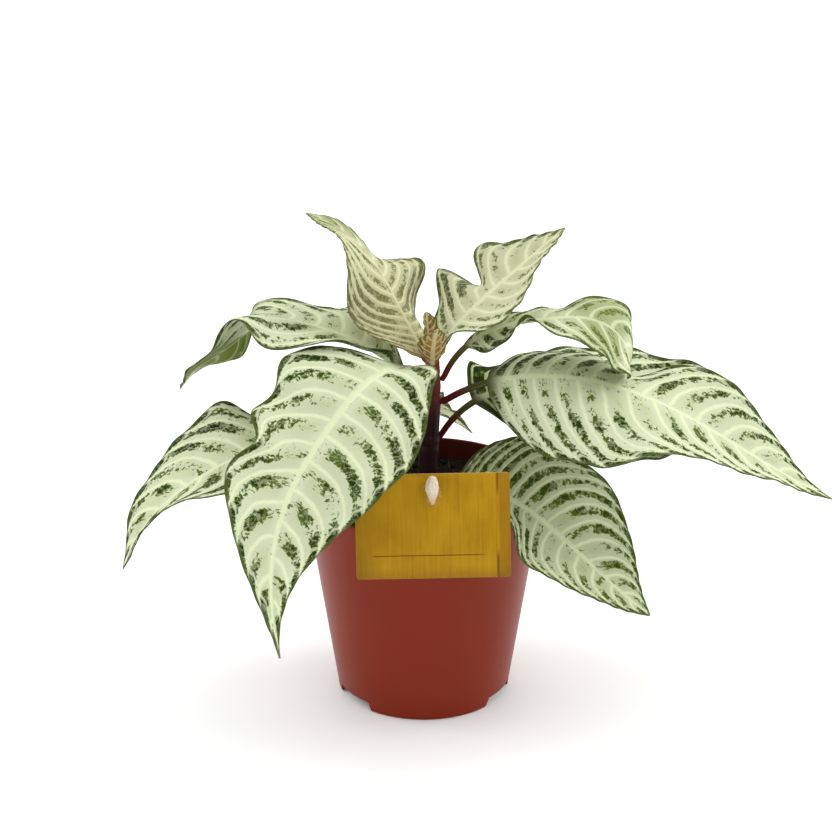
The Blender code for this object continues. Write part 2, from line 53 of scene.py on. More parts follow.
mm = 0.001
potLow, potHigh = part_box("pot")
axis = Vector(((potLow.x + potHigh.x) / 2, (potLow.y + potHigh.y) / 2, 0.0)) / mm    # the pot's axis
shift = np.array(axis)
print("frame loaded,", len(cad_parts), "nodes")


def addObject(name, data):
    obj = bpy.data.objects.new(name, data)
    bpy.context.scene.collection.objects.link(obj)
    return obj


# Camera, first of all, at the photograph's angle

view = {"place": (-1.8, -1377.6, 737.9), "down": 23.3, "lens": 130.18, "sensor": 36.0, "far": 30}

camera = addObject("camera", bpy.data.cameras.new("camera"))
camera.location = (Vector(view["place"]) + axis) * mm
camera.rotation_euler = (math.radians(90 - view["down"]), 0.0, 0.0)
camera.data.lens = view["lens"]
camera.data.sensor_width = view["sensor"]
camera.data.clip_end = view["far"]
bpy.context.scene.camera = camera
print("camera placed")


# Shader maths, so that a pattern reads as Python

class Wire:
    def __init__(self, paint, socket):
        self.paint = paint
        self.socket = socket

    def __add__(self, other):
        return self.paint.maths("ADD", self, other)

    def __sub__(self, other):
        return self.paint.maths("SUBTRACT", self, other)

    def __rsub__(self, other):
        return self.paint.maths("SUBTRACT", other, self)

    def __mul__(self, other):
        return self.paint.maths("MULTIPLY", self, other)

    def __abs__(self):
        return self.paint.maths("ABSOLUTE", self)

    __radd__ = __add__
    __rmul__ = __mul__


def tone(red, green, blue):
    # a colour as the eye sees it, 0 to 255, in the linear values that a shader takes
    shares = [value / 255 for value in (red, green, blue)]
    return tuple(share / 12.92 if share < 0.0404 else ((share + 0.055) / 1.055)**2.4 for share in shares)


class Paint:
    def __init__(self, name, roughness, specular=0.5):
        self.mat = bpy.data.materials.new(name)
        self.mat.use_nodes = True
        self.nodes = self.mat.node_tree.nodes
        self.links = self.mat.node_tree.links
        self.shader = self.nodes["Principled BSDF"]
        self.shader.inputs["Roughness"].default_value = roughness
        self.shader.inputs["Specular IOR Level"].default_value = specular

    def node(self, kind, settings, sockets, out=0):
        made = self.nodes.new(kind)
        for key, value in settings.items():
            if key == "stops":
                for spot, (place, colour) in enumerate(value):
                    stops = made.color_ramp.elements
                    stop = stops[spot] if spot < 2 else stops.new(place)
                    stop.position = place
                    stop.color = (*colour, 1.0)
            else:
                setattr(made, key, value)
        for key, value in sockets.items():
            if isinstance(value, Wire):
                self.links.new(value.socket, made.inputs[key])
            elif isinstance(value, tuple) and made.inputs[key].type == "RGBA":
                made.inputs[key].default_value = (*value, 1.0)
            else:
                made.inputs[key].default_value = value
        return Wire(self, made.outputs[out])

    def maths(self, kind, *values):
        return self.node("ShaderNodeMath", {"operation": kind}, dict(enumerate(values)))

    def least(self, first, second):
        return self.maths("MINIMUM", first, second)

    def most(self, first, second):
        return self.maths("MAXIMUM", first, second)

    def fold(self, value):
        # how far it is from the nearest whole number
        return self.maths("PINGPONG", value, 0.5)

    def attribute(self, name):
        return self.node("ShaderNodeAttribute", {"attribute_name": name}, {}, "Vector")

    def objectPlace(self):
        return self.node("ShaderNodeTexCoord", {}, {}, "Object")

    def split(self, vector):
        made = self.node("ShaderNodeSeparateXYZ", {}, {0: vector})
        return [Wire(self, socket) for socket in made.socket.node.outputs]

    def join(self, x, y, z):
        return self.node("ShaderNodeCombineXYZ", {}, {0: x, 1: y, 2: z})

    def stretch(self, vector, factors):
        return self.node("ShaderNodeVectorMath", {"operation": "MULTIPLY"}, {0: vector, 1: factors})

    def step(self, value, low, high):
        return self.node("ShaderNodeMapRange", {"interpolation_type": "SMOOTHSTEP"},
                         {"Value": value, "From Min": low, "From Max": high})

    def noise(self, vector, scale, detail=2.0, rough=0.5, twist=0.0):
        return self.node("ShaderNodeTexNoise", {},
                         {"Vector": vector, "Scale": scale, "Detail": detail, "Roughness": rough,
                          "Distortion": twist})

    def cells(self, vector, feature, out):
        return self.node("ShaderNodeTexVoronoi", {"feature": feature}, {"Vector": vector, "Scale": 1.0}, out)

    def mix(self, share, first, second):
        # each colour is a wire, or red, green and blue from 0 to 255
        first, second = (end if isinstance(end, Wire) else tone(*end) for end in (first, second))
        return self.node("ShaderNodeMix", {"data_type": "RGBA"}, {0: share, 6: first, 7: second}, 2)

    def colour(self, wire):
        self.feed("Base Color", wire)

    def feed(self, name, wire):
        self.links.new(wire.socket, self.shader.inputs[name])

    def bump(self, height, strength, depth):
        made = self.node("ShaderNodeBump", {}, {"Height": height, "Strength": strength, "Distance": depth})
        self.feed("Normal", made)


def grainPaint(name, roughness, scale, coarse, tones, bump):
    paint = Paint(name, roughness, 0.3)
    grain = paint.noise(paint.objectPlace(), scale, 3.0, coarse)
    paint.colour(paint.mix(grain, *tones))
    paint.bump(grain, *bump)
    return paint.mat


# Mesh helpers

def clearPick():
    bpy.ops.object.select_all(action="DESELECT")


def pick(*objs):
    clearPick()
    for obj in objs:
        obj.select_set(True)
    bpy.context.view_layer.objects.active = objs[0]


def rename(name):
    obj = bpy.context.active_object
    obj.name = name
    obj.data.name = name
    return obj


def readPoints(obj):
    points = np.zeros(len(obj.data.vertices) * 3)
    obj.data.vertices.foreach_get("co", points)
    return points.reshape(-1, 3)


def writePoints(obj, points):
    obj.data.vertices.foreach_set("co", np.asarray(points, float).ravel())
    obj.data.update()


def applyAll(obj):
    pick(obj)
    for modifier in list(obj.modifiers):
        bpy.ops.object.modifier_apply(modifier=modifier.name)


def finishPiece(obj, node, paints):
    for paint in paints:
        obj.data.materials.append(paint)
    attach(obj, "root")
    if node:
        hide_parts(node)


def smooth(obj, angle):
    pick(obj)
    bpy.ops.object.shade_smooth_by_angle(angle=math.radians(angle))


def openMesh(obj, action):
    pick(obj)
    bpy.ops.object.mode_set(mode="EDIT")
    bpy.ops.mesh.select_all(action=action)


def closeSeams(obj):
    openMesh(obj, "SELECT")
    bpy.ops.mesh.remove_doubles(threshold=0.00001)
    bpy.ops.mesh.normals_make_consistent(inside=False)
    bpy.ops.object.mode_set(mode="OBJECT")


def capEnds(obj):
    openMesh(obj, "DESELECT")
    bpy.ops.mesh.select_mode(type="EDGE")
    bpy.ops.mesh.select_non_manifold()
    bpy.ops.mesh.edge_face_add()
    bpy.ops.object.mode_set(mode="OBJECT")
    closeSeams(obj)


def drill(obj, radius, depth, middle, tilt=0.0):
    # a round hole, with its middle in metres
    clearPick()
    bpy.ops.mesh.primitive_cylinder_add(vertices=40, radius=radius * mm, depth=depth * mm, location=middle,
                                        rotation=(tilt, 0, 0))
    cutter = rename("cutter")
    hole = obj.modifiers.new("hole", "BOOLEAN")
    hole.object = cutter
    applyAll(obj)
    bpy.data.objects.remove(cutter)


def drawRings(name, rings, sides):
    # a circle is added at the first ring and drawn out to each of the others; a last radius of 0 closes it
    clearPick()
    radius, height = rings[0]
    bpy.ops.mesh.primitive_circle_add(vertices=sides, radius=radius * mm, location=(0, 0, height * mm))
    obj = rename(name)
    bpy.ops.object.transform_apply()
    openMesh(obj, "SELECT")
    for nextRadius, nextHeight in rings[1:]:
        rise = (nextHeight - height) * mm
        bpy.ops.mesh.extrude_edges_move(TRANSFORM_OT_translate={"value": (0, 0, rise)})
        if nextRadius == 0:
            bpy.ops.mesh.merge(type="CENTER")
            break
        if nextRadius != radius:
            grow = nextRadius / radius
            bpy.ops.transform.resize(value=(grow, grow, 1.0), center_override=(0, 0, nextHeight * mm))
        radius, height = nextRadius, nextHeight
    bpy.ops.object.mode_set(mode="OBJECT")
    return obj


def ease(keys, place):
    # a smooth curve through values that are spread evenly from 0 to 1
    keys = np.asarray(keys, float)
    last = len(keys) - 1
    x = np.clip(place, 0.0, 1.0) * last
    i = np.minimum(x.astype(int), last - 1)
    f = x - i
    slope = np.gradient(keys)
    return ((2 * f**3 - 3 * f**2 + 1) * keys[i] + (f**3 - 2 * f**2 + f) * slope[i]
            + (3 * f**2 - 2 * f**3) * keys[i + 1] + (f**3 - f**2) * slope[i + 1])


def softStep(value, low, high):
    x = np.clip((value - low) / (high - low), 0, 1)
    return x * x * (3 - 2 * x)


def polar(points):
    # heading and distance from the axis
    return np.arctan2(points[:, 1], points[:, 0]), np.hypot(points[:, 0], points[:, 1])


# Pot

pot = {
    "rimRadius": 60.0, "baseRadius": 43.1, "height": 109.4, "wall": 1.3, "floor": 5.2, "sides": 384,
    "outsideRings": (106, 104, 90, 72, 54, 36, 20, 12, 9, 8, 7, 6, 5, 4, 3, 2, 1, 0.4),
    "skirtRings": (0.4, 1.2, 2.2, 3.2, 4.2), "undersideRadii": (38, 34, 30, 24, 18, 12, 6, 0),
    "insideRings": (106, 104, 90, 60, 30, 12), "floorRadii": (36, 30, 20, 10, 0),
    "notchAngle": 36.0, "notchHeight": 4.8, "notchEase": 2.2, "skirtTop": 9.0, "feet": 3, "feetTurn": 4.5,
    "drains": 6, "drainRadius": 4.0, "drainCircle": 27.0, "drainDepth": 8,
    # the shaded tones are a painted shade for the inside wall and floor
    "plastic": ((123, 33, 3), (133, 40, 7)), "shaded": ((70, 24, 16), (84, 28, 18)), "fleck": (92, 26, 12),
}


def potRadius(height):
    return pot["baseRadius"] + (pot["rimRadius"] - pot["baseRadius"]) * height / pot["height"]


def potPaint(name, tones, specular):
    paint = Paint(name, 0.42, specular)
    place = paint.objectPlace()
    cloud = paint.noise(place, 22.0, 3.0)
    fleck = paint.step(paint.noise(place, 900.0, 2.0), 0.62, 0.8)
    paint.colour(paint.mix(fleck * 0.2, paint.mix(cloud, *tones), pot["fleck"]))
    paint.feed("Roughness", 0.33 + cloud * 0.1)
    paint.bump(paint.noise(place, 420.0, 3.0, 0.6), 0.12, 0.0004)
    return paint.mat


def lipRings(way):
    # a quarter of the rounded lip, from its crest outwards (1) or inwards (-1)
    half = pot["wall"] / 2
    middle, height = pot["rimRadius"] - half, pot["height"] - half
    turns = [math.radians(angle) for angle in (0, 30, 60, 90)]
    return [(middle + way * half * math.sin(turn), height + half * math.cos(turn)) for turn in turns]


def makeShell():
    wall = pot["wall"]
    base = pot["baseRadius"]
    floor = pot["floor"]
    floorTop = floor + wall
    outside = lipRings(1) + [(potRadius(z), z) for z in pot["outsideRings"]]
    outside += [(base - 0.45, 0.0), (base - wall + 0.4, 0.0)]
    outside += [(potRadius(z) - wall, z) for z in pot["skirtRings"]]
    outside += [(potRadius(floor) - wall - 0.5, floor)]
    outside += [(radius, floor) for radius in pot["undersideRadii"]]
    inside = lipRings(-1) + [(potRadius(z) - wall, z) for z in pot["insideRings"]]
    inside += [(potRadius(floorTop + 2) - wall, floorTop + 2), (potRadius(floorTop) - wall - 1.6, floorTop)]
    inside += [(radius, floorTop) for radius in pot["floorRadii"]]
    shell = drawRings("pot_body", outside, pot["sides"])
    lining = drawRings("pot_lining", inside, pot["sides"])
    pick(shell, lining)
    bpy.ops.object.join()
    closeSeams(shell)
    return shell


def raiseSkirt(shell):
    # between the feet
    points = readPoints(shell) / mm
    flat = points[:, 2].copy()
    turn, reach = polar(points)
    away = np.full(len(points), 180.0)
    for foot in range(pot["feet"]):
        heading = pot["feetTurn"] - 90 + (foot + 0.5) * 360 / pot["feet"]
        away = np.minimum(away, np.abs((np.degrees(turn) - heading + 180) % 360 - 180))
    raised = 1 - softStep(away, pot["notchAngle"] / 2 - pot["notchEase"], pot["notchAngle"] / 2)
    skirt = (flat < pot["skirtTop"]) & (reach > pot["baseRadius"] - pot["wall"] - 0.6)
    squeeze = 1 - raised * pot["notchHeight"] / pot["skirtTop"]
    points[skirt, 2] = pot["skirtTop"] - (pot["skirtTop"] - flat[skirt]) * squeeze[skirt]
    fit = (potRadius(points[:, 2]) - potRadius(flat)) * skirt
    points[:, :2] *= (1 + fit / np.maximum(reach, 1.0))[:, None]
    writePoints(shell, points * mm)


def makePot():
    shell = makeShell()
    raiseSkirt(shell)
    for drain in range(pot["drains"]):
        heading = math.radians(drain * 360 / pot["drains"])
        spot = Vector((math.cos(heading), math.sin(heading), 0)) * pot["drainCircle"] * mm
        spot.z = (pot["floor"] + pot["wall"] / 2) * mm
        drill(shell, pot["drainRadius"], pot["drainDepth"], spot)
    shell.data.transform(Matrix.Translation(axis * mm))
    smooth(shell, 40)
    plastic = potPaint("terracotta plastic", pot["plastic"], 0.17)
    finishPiece(shell, "pot", [plastic, potPaint("shaded inside", pot["shaded"], 0.15)])
    # the inside wall and floor take the darker paint: a painted shade on the same plastic
    for face in shell.data.polygons:
        spot = face.center / mm - axis
        inside = math.hypot(spot.x, spot.y) < potRadius(spot.z) - 0.8 * pot["wall"]
        if inside and pot["floor"] + pot["wall"] - 0.1 < spot.z < pot["height"] - 0.5:
            face.material_index = 1


makePot()
print("pot made")


# Stem and the soil that it stands in

stem = {
    "foot": 62.0, "top": 186.0, "sway": (1.8, 1.8, 2.2, 4.6, 4.6), "radius": (5.0, 5.0, 4.6, 3.5, 2.2),
    "tip": ((0.95, 0.5), (0.7, 0.9), (0.35, 1.15), (0, 1.2)), "swell": 0.5, "nodeLength": 3.0,
    "scarUp": 3.4, "scarLength": 0.45, "scarDepth": 0.22, "sides": 64, "rings": 300,
    "old": ((24, 10, 13), (60, 32, 33)), "young": ((98, 30, 30), (142, 74, 62)), "youngFrom": (0.150, 0.185),
}
leafHeights = (174, 182, 166, 171, 155, 163, 134, 134, 113, 129, 175, 179)


def stemAt(height):
    # sideways place and radius, with a swelling where each leaf grows
    height = np.asarray(height, float)
    place = (height - stem["foot"]) / (stem["top"] - stem["foot"])
    swell = np.max([np.exp(-((height - z) / stem["nodeLength"])**2) for z in leafHeights], 0)
    return ease(stem["sway"], place), ease(stem["radius"], place) + stem["swell"] * swell


def stemPaint():
    paint = Paint("stem bark", 0.5, 0.1)
    place = paint.objectPlace()
    streak = paint.noise(paint.stretch(place, (900.0, 900.0, 70.0)), 1.0, 3.0, 0.6)
    patch = paint.noise(place, 160.0, 2.0)
    young = paint.step(paint.split(place)[2] + patch * 0.02, *stem["youngFrom"])
    paint.colour(paint.mix(young, paint.mix(streak, *stem["old"]), paint.mix(streak, *stem["young"])))
    paint.bump(streak + patch * 0.5, 0.5, 0.0006)
    return paint.mat


def makeStem():
    heights = np.linspace(stem["foot"], stem["top"], stem["rings"])
    radii = stemAt(heights)[1]
    rings = [(0.7 * radii[0], stem["foot"] - 0.2)] + list(zip(radii.tolist(), heights.tolist()))
    rings += [(stem["radius"][-1] * share, stem["top"] + up) for share, up in stem["tip"]]
    rod = drawRings("stem_rod", rings, stem["sides"])
    capEnds(rod)
    points = readPoints(rod) / mm
    height = points[:, 2]
    turn, reach = polar(points)
    ridge = 0.10 * np.sin(7 * turn + height * 0.06) + 0.07 * np.sin(13 * turn - height * 0.11)
    for leafHeight in leafHeights:
        scar = (height - leafHeight - stem["scarUp"]) / stem["scarLength"]
        ridge = ridge - stem["scarDepth"] * np.exp(-scar**2)
    ridge *= softStep(height, 101, 104) * softStep(reach, 1.0, 2.0)
    points[:, :2] *= (1 + ridge / np.maximum(reach, 1.0))[:, None]
    points[:, 0] += ease(stem["sway"], (height - stem["foot"]) / (stem["top"] - stem["foot"]))
    writePoints(rod, (points + shift) * mm)
    smooth(rod, 60)
    finishPiece(rod, "stem", [stemPaint()])


soil = {
    "top": 100.0, "lumps": ((1.6, 9), (0.9, 3.1), (0.5, 1.2)), "sides": 180, "hole": 5.4, "gap": 0.3,
    "floorRadii": (6, 20, 34), "corner": 2.2, "rings": (30, 60, 85, 96, 98.5), "topRings": 60,
    "crumbs": 520, "peatShare": 0.8, "gritShare": 0.84, "fibreShare": 0.93, "seed": 7,
    "peat": ((10, 7, 6), (48, 36, 29)), "dry": (70, 52, 40),
    "bark": ((58, 38, 26), (104, 72, 46)), "grit": ((150, 142, 128), (200, 194, 180)),
}


def soilPaint():
    paint = Paint("peat", 0.95, 0.08)
    place = paint.objectPlace()
    grain = paint.noise(place, 700.0, 4.0, 0.65)
    patch = paint.step(paint.noise(place, 120.0, 3.0), 0.5, 0.75)
    paint.colour(paint.mix(patch * 0.5, paint.mix(grain, *soil["peat"]), soil["dry"]))
    paint.bump(grain, 0.9, 0.001)
    return paint.mat


def makeSoil():
    top = soil["top"]
    hole = soil["hole"]
    corner = soil["corner"]
    low = pot["floor"] + pot["wall"] + soil["gap"]
    foot = stem["foot"] - soil["gap"]
    wall = pot["wall"] + soil["gap"]
    rim = potRadius(top) - wall
    rings = [(radius, low) for radius in soil["floorRadii"]]
    rings += [(potRadius(low) - wall - corner, low), (potRadius(low + corner) - wall, low + corner)]
    rings += [(potRadius(z) - wall, z) for z in soil["rings"]] + [(rim - 0.3, top - 0.4)]
    rings += [(radius, top) for radius in np.linspace(rim - 0.9, hole + 0.5, soil["topRings"]).tolist()]
    rings += [(hole, top - 0.6), (hole, 80.0), (hole, foot), (0, foot)]
    fill = drawRings("soil_fill", rings, soil["sides"])
    capEnds(fill)
    points = readPoints(fill) / mm
    reach = polar(points)[1]
    for i in np.nonzero((points[:, 2] > top - 0.2) & (reach < rim - 0.5))[0]:
        spot = Vector((points[i, 0], points[i, 1], 0.0))
        inside = min(1.0, (reach[i] - hole) / 2.0, (rim - reach[i]) / 1.5)
        points[i, 2] += sum(rise * noise.noise(spot / spread) for rise, spread in soil["lumps"]) * inside
    lean = np.clip((rim - 1.0 - reach) / (rim - hole - 1.0), 0, 1) * (points[:, 2] > stem["foot"] - 1)
    points[:, 0] += stem["sway"][0] * lean
    writePoints(fill, (points + shift) * mm)
    smooth(fill, 70)
    finishPiece(fill, "soil", [soilPaint()])


def makeCrumbs():
    # crumbs of peat, pale grit and short fibres lie on the soil
    random.seed(soil["seed"])
    noise.seed_set(soil["seed"])
    rim = potRadius(soil["top"]) - pot["wall"] - 2.5
    paints = [soilPaint()]
    paints += [grainPaint(kind, 0.85, 900.0, 0.5, soil[kind], (0.6, 0.0004)) for kind in ("bark", "grit")]
    work = bmesh.new()
    for crumb in range(soil["crumbs"]):
        spin = random.uniform(0, 2 * math.pi)
        away = math.sqrt(random.uniform((soil["hole"] + 2.5)**2, rim**2))
        kind = random.random()
        size = random.uniform(0.5, 1.5) if kind < soil["peatShare"] else random.uniform(0.4, 0.8)
        sizes = Vector((size * random.uniform(0.8, 1.9), size, size * random.uniform(0.5, 0.9)))
        if kind > soil["fibreShare"]:
            sizes = Vector((random.uniform(2.0, 4.5), 0.35, 0.3))
        spot = Vector((away * math.cos(spin), away * math.sin(spin), soil["top"] + sizes.z * 0.3))
        turn = Matrix.Rotation(random.uniform(0, 6.3), 4, "Z")
        turn = turn @ Matrix.Rotation(random.uniform(-0.5, 0.5), 4, "Y")
        place = Matrix.Translation((spot + axis) * mm) @ turn @ Matrix.Diagonal((*(sizes * mm), 1.0))
        verts = bmesh.ops.create_icosphere(work, subdivisions=1, radius=1.0, matrix=place)["verts"]
        for vert in verts:
            vert.co += noise.noise_vector(vert.co / (0.9 * mm)) * size * 0.3 * mm
        paint = 0 if kind < soil["peatShare"] else 2 if kind < soil["gritShare"] else 1
        for face in {face for vert in verts for face in vert.link_faces}:
            face.material_index = paint
    crumbs = addObject("soil_crumbs", bpy.data.meshes.new("soil_crumbs"))
    work.to_mesh(crumbs.data)
    work.free()
    finishPiece(crumbs, None, paints)


makeStem()
makeSoil()
makeCrumbs()
print("stem and soil made")


# Leaves: the shape of each, then what colours it
# Rise is the slope of the midrib and head its heading. Roll lifts the left half, left and right fold each
# half up from the midrib, and curl bends it further. A lobe is (side, place, spread, reach, lift), and a wave
# (height, count, phase).
# Dark is how much of the blade is green from base to tip, and lean the more of it on one side of the base;
# past about 1.3 it also lays painted shade over the pale ground.
# Khaki is how tan it is from base to tip, and olive (from, full, fading, gone, share) how much of it is plain
# green, which over leaf_right_front is painted shade. Veins is how many there are to a half, and crowd,
# under 1, sets them closer at the base.

usualLeaf = dict(
    lobes=(), lean=("left", 0.0), khaki=(0.0, 0.0, 0.0), olive=(2.0, 2.1, 2.2, 2.3, 0.0), crimp=0.4,
)
leaves = {}
leaves["leaf_top_left"] = dict(
    height=174, length=104, petiole=2, width=72, taper=(0.91, 0.98),
    rise=(44, 42, 42, 27, 11), head=(127, 126, 132, 148, 160), roll=(9, 12, 33, 23, 14),
    left=(22, 6, 11, 0), right=(-18, -18, -9, 14), curl=(-28, -31, -16, -2),
    lobes=(("right", 0.49, 0.13, -8, 27),), wave=(0.8, 3, 30),
    dark=(0.15, 1.45, 0.8, 0.7, 1.0), khaki=(1.0, 0.6, 0.3), crimp=0.5, veins=14, crowd=0.3,
    olive=(0.68, 0.85, 1.1, 1.2, 0.5))
leaves["leaf_top_right"] = dict(
    height=182, length=86, petiole=4, width=51, taper=(0.52, 1.1),
    rise=(54, 41, 35, 36, 36), head=(29, 21, 23, 21, 21), roll=(-12, -1, 5, -1, 6),
    left=(3, 4, 11, 21), right=(12, 1, 4, 4), curl=(8, -1, 7, 15),
    lobes=(("left", 0.3, 0.1, 9, 9), ("left", 0.4, 0.07, -11, -12), ("left", 0.57, 0.1, 4, 4),
           ("right", 0.05, 0.1, -13, 0)),
    wave=(0.6, 3, 10),
    dark=(0.65, 0.6, 0.35), lean=("left", 0.4), khaki=(0.2, 0.35, 0.4), crimp=0.7, veins=8.5, crowd=0.75)
leaves["leaf_right_high"] = dict(
    height=166, length=126, petiole=21, width=50, taper=(0.91, 0.35),
    rise=(73, 39, 12, 0, -45, -102), head=(2, -2, -2, 2, 10, 23), roll=(35, 19, 14, 5, 29, 28),
    left=(-7, -8, -9, -7, 0), right=(-9, 0, 0, 5, 6), curl=(-20, -12, -12, -4, 6),
    lobes=(("right", 0.09, 0.08, 4, -2), ("right", 0.34, 0.09, -11, 8), ("right", 0.8, 0.1, 2, 1)),
    wave=(1.2, 5, 90),
    dark=(0.9, 0.8, 0.75), lean=("right", 0.3), khaki=(0.1, 0.1, 0.1), veins=10, crowd=0.7,
    olive=(0.45, 0.66, 0.78, 0.86, 0.5))
leaves["leaf_left_front"] = dict(
    height=171, length=203, petiole=16, width=85, taper=(0.74, 1.62),
    rise=(34, -18, -28, -37, -54), head=(-141, -126, -118, -97, -68), roll=(17, -11, -13, -19, -20),
    left=(12, -2, -7, -15), right=(7, 13, 10, 7), curl=(-4, -3, -3, -6),
    lobes=(("left", 0.01, 0.08, 13, 7), ("right", 0.31, 0.07, -10, -5), ("right", 0.46, 0.06, -14, 2)),
    wave=(1.5, 5, 40),
    dark=(0.85, 0.85, 0.85), lean=("left", 0.1), veins=11.5, crowd=0.65)
leaves["leaf_right"] = dict(
    height=155, length=214, petiole=26, width=98, taper=(0.59, 1.27),
    rise=(38, 3, -23, -33, -28), head=(-17, -6, -3, -2, 4), roll=(35, 27, 19, 23, 12),
    left=(-12, -21, 1, 3), right=(2, 1, 13, 17), curl=(-18, -22, 7, 15),
    lobes=(("left", 0.41, 0.08, -11, -11), ("right", 0.38, 0.07, 4, 0), ("right", 0.55, 0.1, -4, 1)),
    wave=(1.2, 5, 0),
    dark=(0.9, 0.75, 0.75), lean=("left", 0.5), veins=14, crowd=0.62)
leaves["leaf_left_back"] = dict(
    height=163, length=153, petiole=14, width=86, taper=(0.9, 1.05),
    rise=(36, 29, 14, 1, -42, -37, -62), head=(168, 165, 164, 159, 172, 159, 152),
    roll=(-1, -1, 7, 23, 6, 26, -11), left=(-2, -6, -2, 13, -12, -22), right=(7, 6, 8, 4, 9, 7),
    curl=(-2, -4, 2, 9, -5, -17),
    lobes=(("left", 0.06, 0.1, -8, 6), ("left", 0.23, 0.13, -10, 8), ("left", 0.43, 0.1, 0, -21)),
    wave=(1.5, 4, 200),
    dark=(0.5, 0.8, 0.85), lean=("left", 0.25), veins=10, crowd=0.7,
    olive=(0.60, 0.68, 0.86, 0.94, 0.95))
leaves["leaf_right_low"] = dict(
    height=134, length=178, petiole=25, width=94, taper=(0.78, 0.78),
    rise=(58, 5, -22, -8, -5), head=(25, 15, 6, -2, -9), roll=(23, 17, 16, 11, 14),
    left=(-8, -5, 6, 16), right=(-14, -8, 5, 15), curl=(-38, -22, 5, 28),
    lobes=(("left", 0.02, 0.07, 16, 16),), wave=(1.5, 5, 180),
    dark=(2.1, 1.1, 0.95), lean=("left", 0.3), veins=12.5, crowd=0.6)
leaves["leaf_left"] = dict(
    height=134, length=182, petiole=18, width=88, taper=(0.8, 1.18),
    rise=(27, 9, -11, -37, -71), head=(213, 207, 201, 196, 191), roll=(19, 10, -3, 2, -6),
    left=(-12, -4, 8, 19), right=(-18, -8, 4, 13), curl=(-31, -14, 7, 25),
    lobes=(("right", 0.47, 0.08, 1, 9),), wave=(1.5, 4, 100),
    dark=(0.95, 1.0, 1.0), lean=("right", 0.1), veins=11, crowd=0.7)
leaves["leaf_right_front"] = dict(
    height=113, length=136, petiole=12, width=70, taper=(0.72, 1.03),
    rise=(20, -6, -23, -30, -25), head=(-37, -35, -39, -36, -32), roll=(40, 30, 31, 8, 4),
    left=(0, 22, 13, 0), right=(4, 13, 7, -2), curl=(5, 34, 16, -6),
    lobes=(("right", 0.36, 0.14, -19, 2),), wave=(1.2, 4, 60),
    dark=(1.65, 1.0, 0.9), lean=("left", 0.1), veins=16, crowd=0.45,
    # its olive flush over the whole blade is painted shade
    olive=(-0.1, 0.0, 1.1, 1.2, 0.2))
leaves["leaf_back"] = dict(
    height=129, length=153, petiole=14, width=41, taper=(0.74, 1.3),
    rise=(28, -6, -26, -30, -48), head=(114, 99, 78, 53, 29), roll=(-7, -6, -3, -8, -24),
    left=(0, 0, 0, -1), right=(4, 3, 4, 11), curl=(-1, 0, 1, 7),
    wave=(1.5, 4, 120),
    dark=(1.0, 0.8, 0.5), veins=9, crowd=0.6)
leaves["leaf_young_front"] = dict(
    height=175, length=27, petiole=1.5, width=15, taper=(0.65, 0.75),
    rise=(60, 63, 64), head=(-95, -82, -58), roll=(0, 0, 0),
    left=(22, 20, 8), right=(20, 18, 8), curl=(22, 18, 6),
    wave=(0.6, 3, 0),
    dark=(0.5, 0.5, 0.5), khaki=(1.4, 1.3, 1.0), veins=6, crowd=0.8)
leaves["leaf_young_back"] = dict(
    height=179, length=21, petiole=1.5, width=10, taper=(0.6, 0.7),
    rise=(82, 84, 82), head=(120, 130, 140), roll=(0, 0, 0),
    left=(25, 25, 10), right=(25, 25, 10), curl=(30, 25, 10),
    wave=(0.5, 3, 90),
    dark=(0.5, 0.5, 0.5), khaki=(1.4, 1.3, 1.0), veins=6, crowd=0.8)
blade = {
    "petioleHalf": 1.8, "tipHalf": 0.4, "petioleDepth": 3.1, "ribDepth": 1.5, "edge": 0.5, "gap": 0.3,
    "rootIn": 0.7, "rootLength": 2.5, "stalkRows": 16, "rowLength": 1.05, "columnWidth": 1.25, "steps": 240,
    "bends": 6, "softFold": 0.15, "softTip": 0.08, "quilt": 0.75, "quiltAt": 15, "ribGroove": 0.5,
    "grooveHalf": 1.6, "ribHalf": 1.3, "stalkFade": 0.06, "veinShift": 0.22, "depthLevels": 400, "smooth": 75,
}
leafFields = {    # what a leaf carries at its points for the paint, three values to an attribute
    "leafPlace": ("veins", "reach", "fromMargin"), "leafTone": ("khaki", "dark", "stalk"),
    "leafGauge": ("gauge", "onBlade", "root"), "leafFlush": ("olive", "spacing", "across"),
    "leafSheet": ("along", "across", "sheetShift"), "leafCells": ("veinsAlong", "across", "cellShift"),
}


def bladeLength(leaf):
    return leaf["length"] - leaf["petiole"]


def angles(leaf, key, place):
    return np.radians(ease(leaf[key], place))


def directions(leaf, place):
    rise = angles(leaf, "rise", place)
    head = angles(leaf, "head", place)
    along = np.stack([np.cos(rise) * np.cos(head), np.cos(rise) * np.sin(head), np.sin(rise)], -1)
    left = np.stack([-np.sin(head), np.cos(head), 0 * head], -1)
    return along, left, np.cross(along, left)


def outward(leaf):
    heading = math.radians(leaf["head"][0])
    return np.array([math.cos(heading), math.sin(heading), 0.0])


def midrib(leaf, place):
    steps = np.linspace(0, 1, blade["steps"] + 1)
    along = directions(leaf, (steps[1:] + steps[:-1]) / 2)[0]
    sway, radius = stemAt(leaf["height"])
    foot = np.array([float(sway), 0.0, leaf["height"]]) + (float(radius) + blade["gap"]) * outward(leaf)
    line = np.concatenate([[foot], foot + np.cumsum(along, 0) * leaf["length"] / blade["steps"]])
    return np.stack([np.interp(place, steps, line[:, k]) for k in range(3)], -1)


def outline(leaf, place):
    onBlade = np.clip((place * leaf["length"] - leaf["petiole"]) / bladeLength(leaf), 0, 1)
    base, tip = leaf["taper"]
    widest = base / (base + tip)
    share = (onBlade / widest)**base * ((1 - onBlade) / (1 - widest))**tip
    return onBlade, share


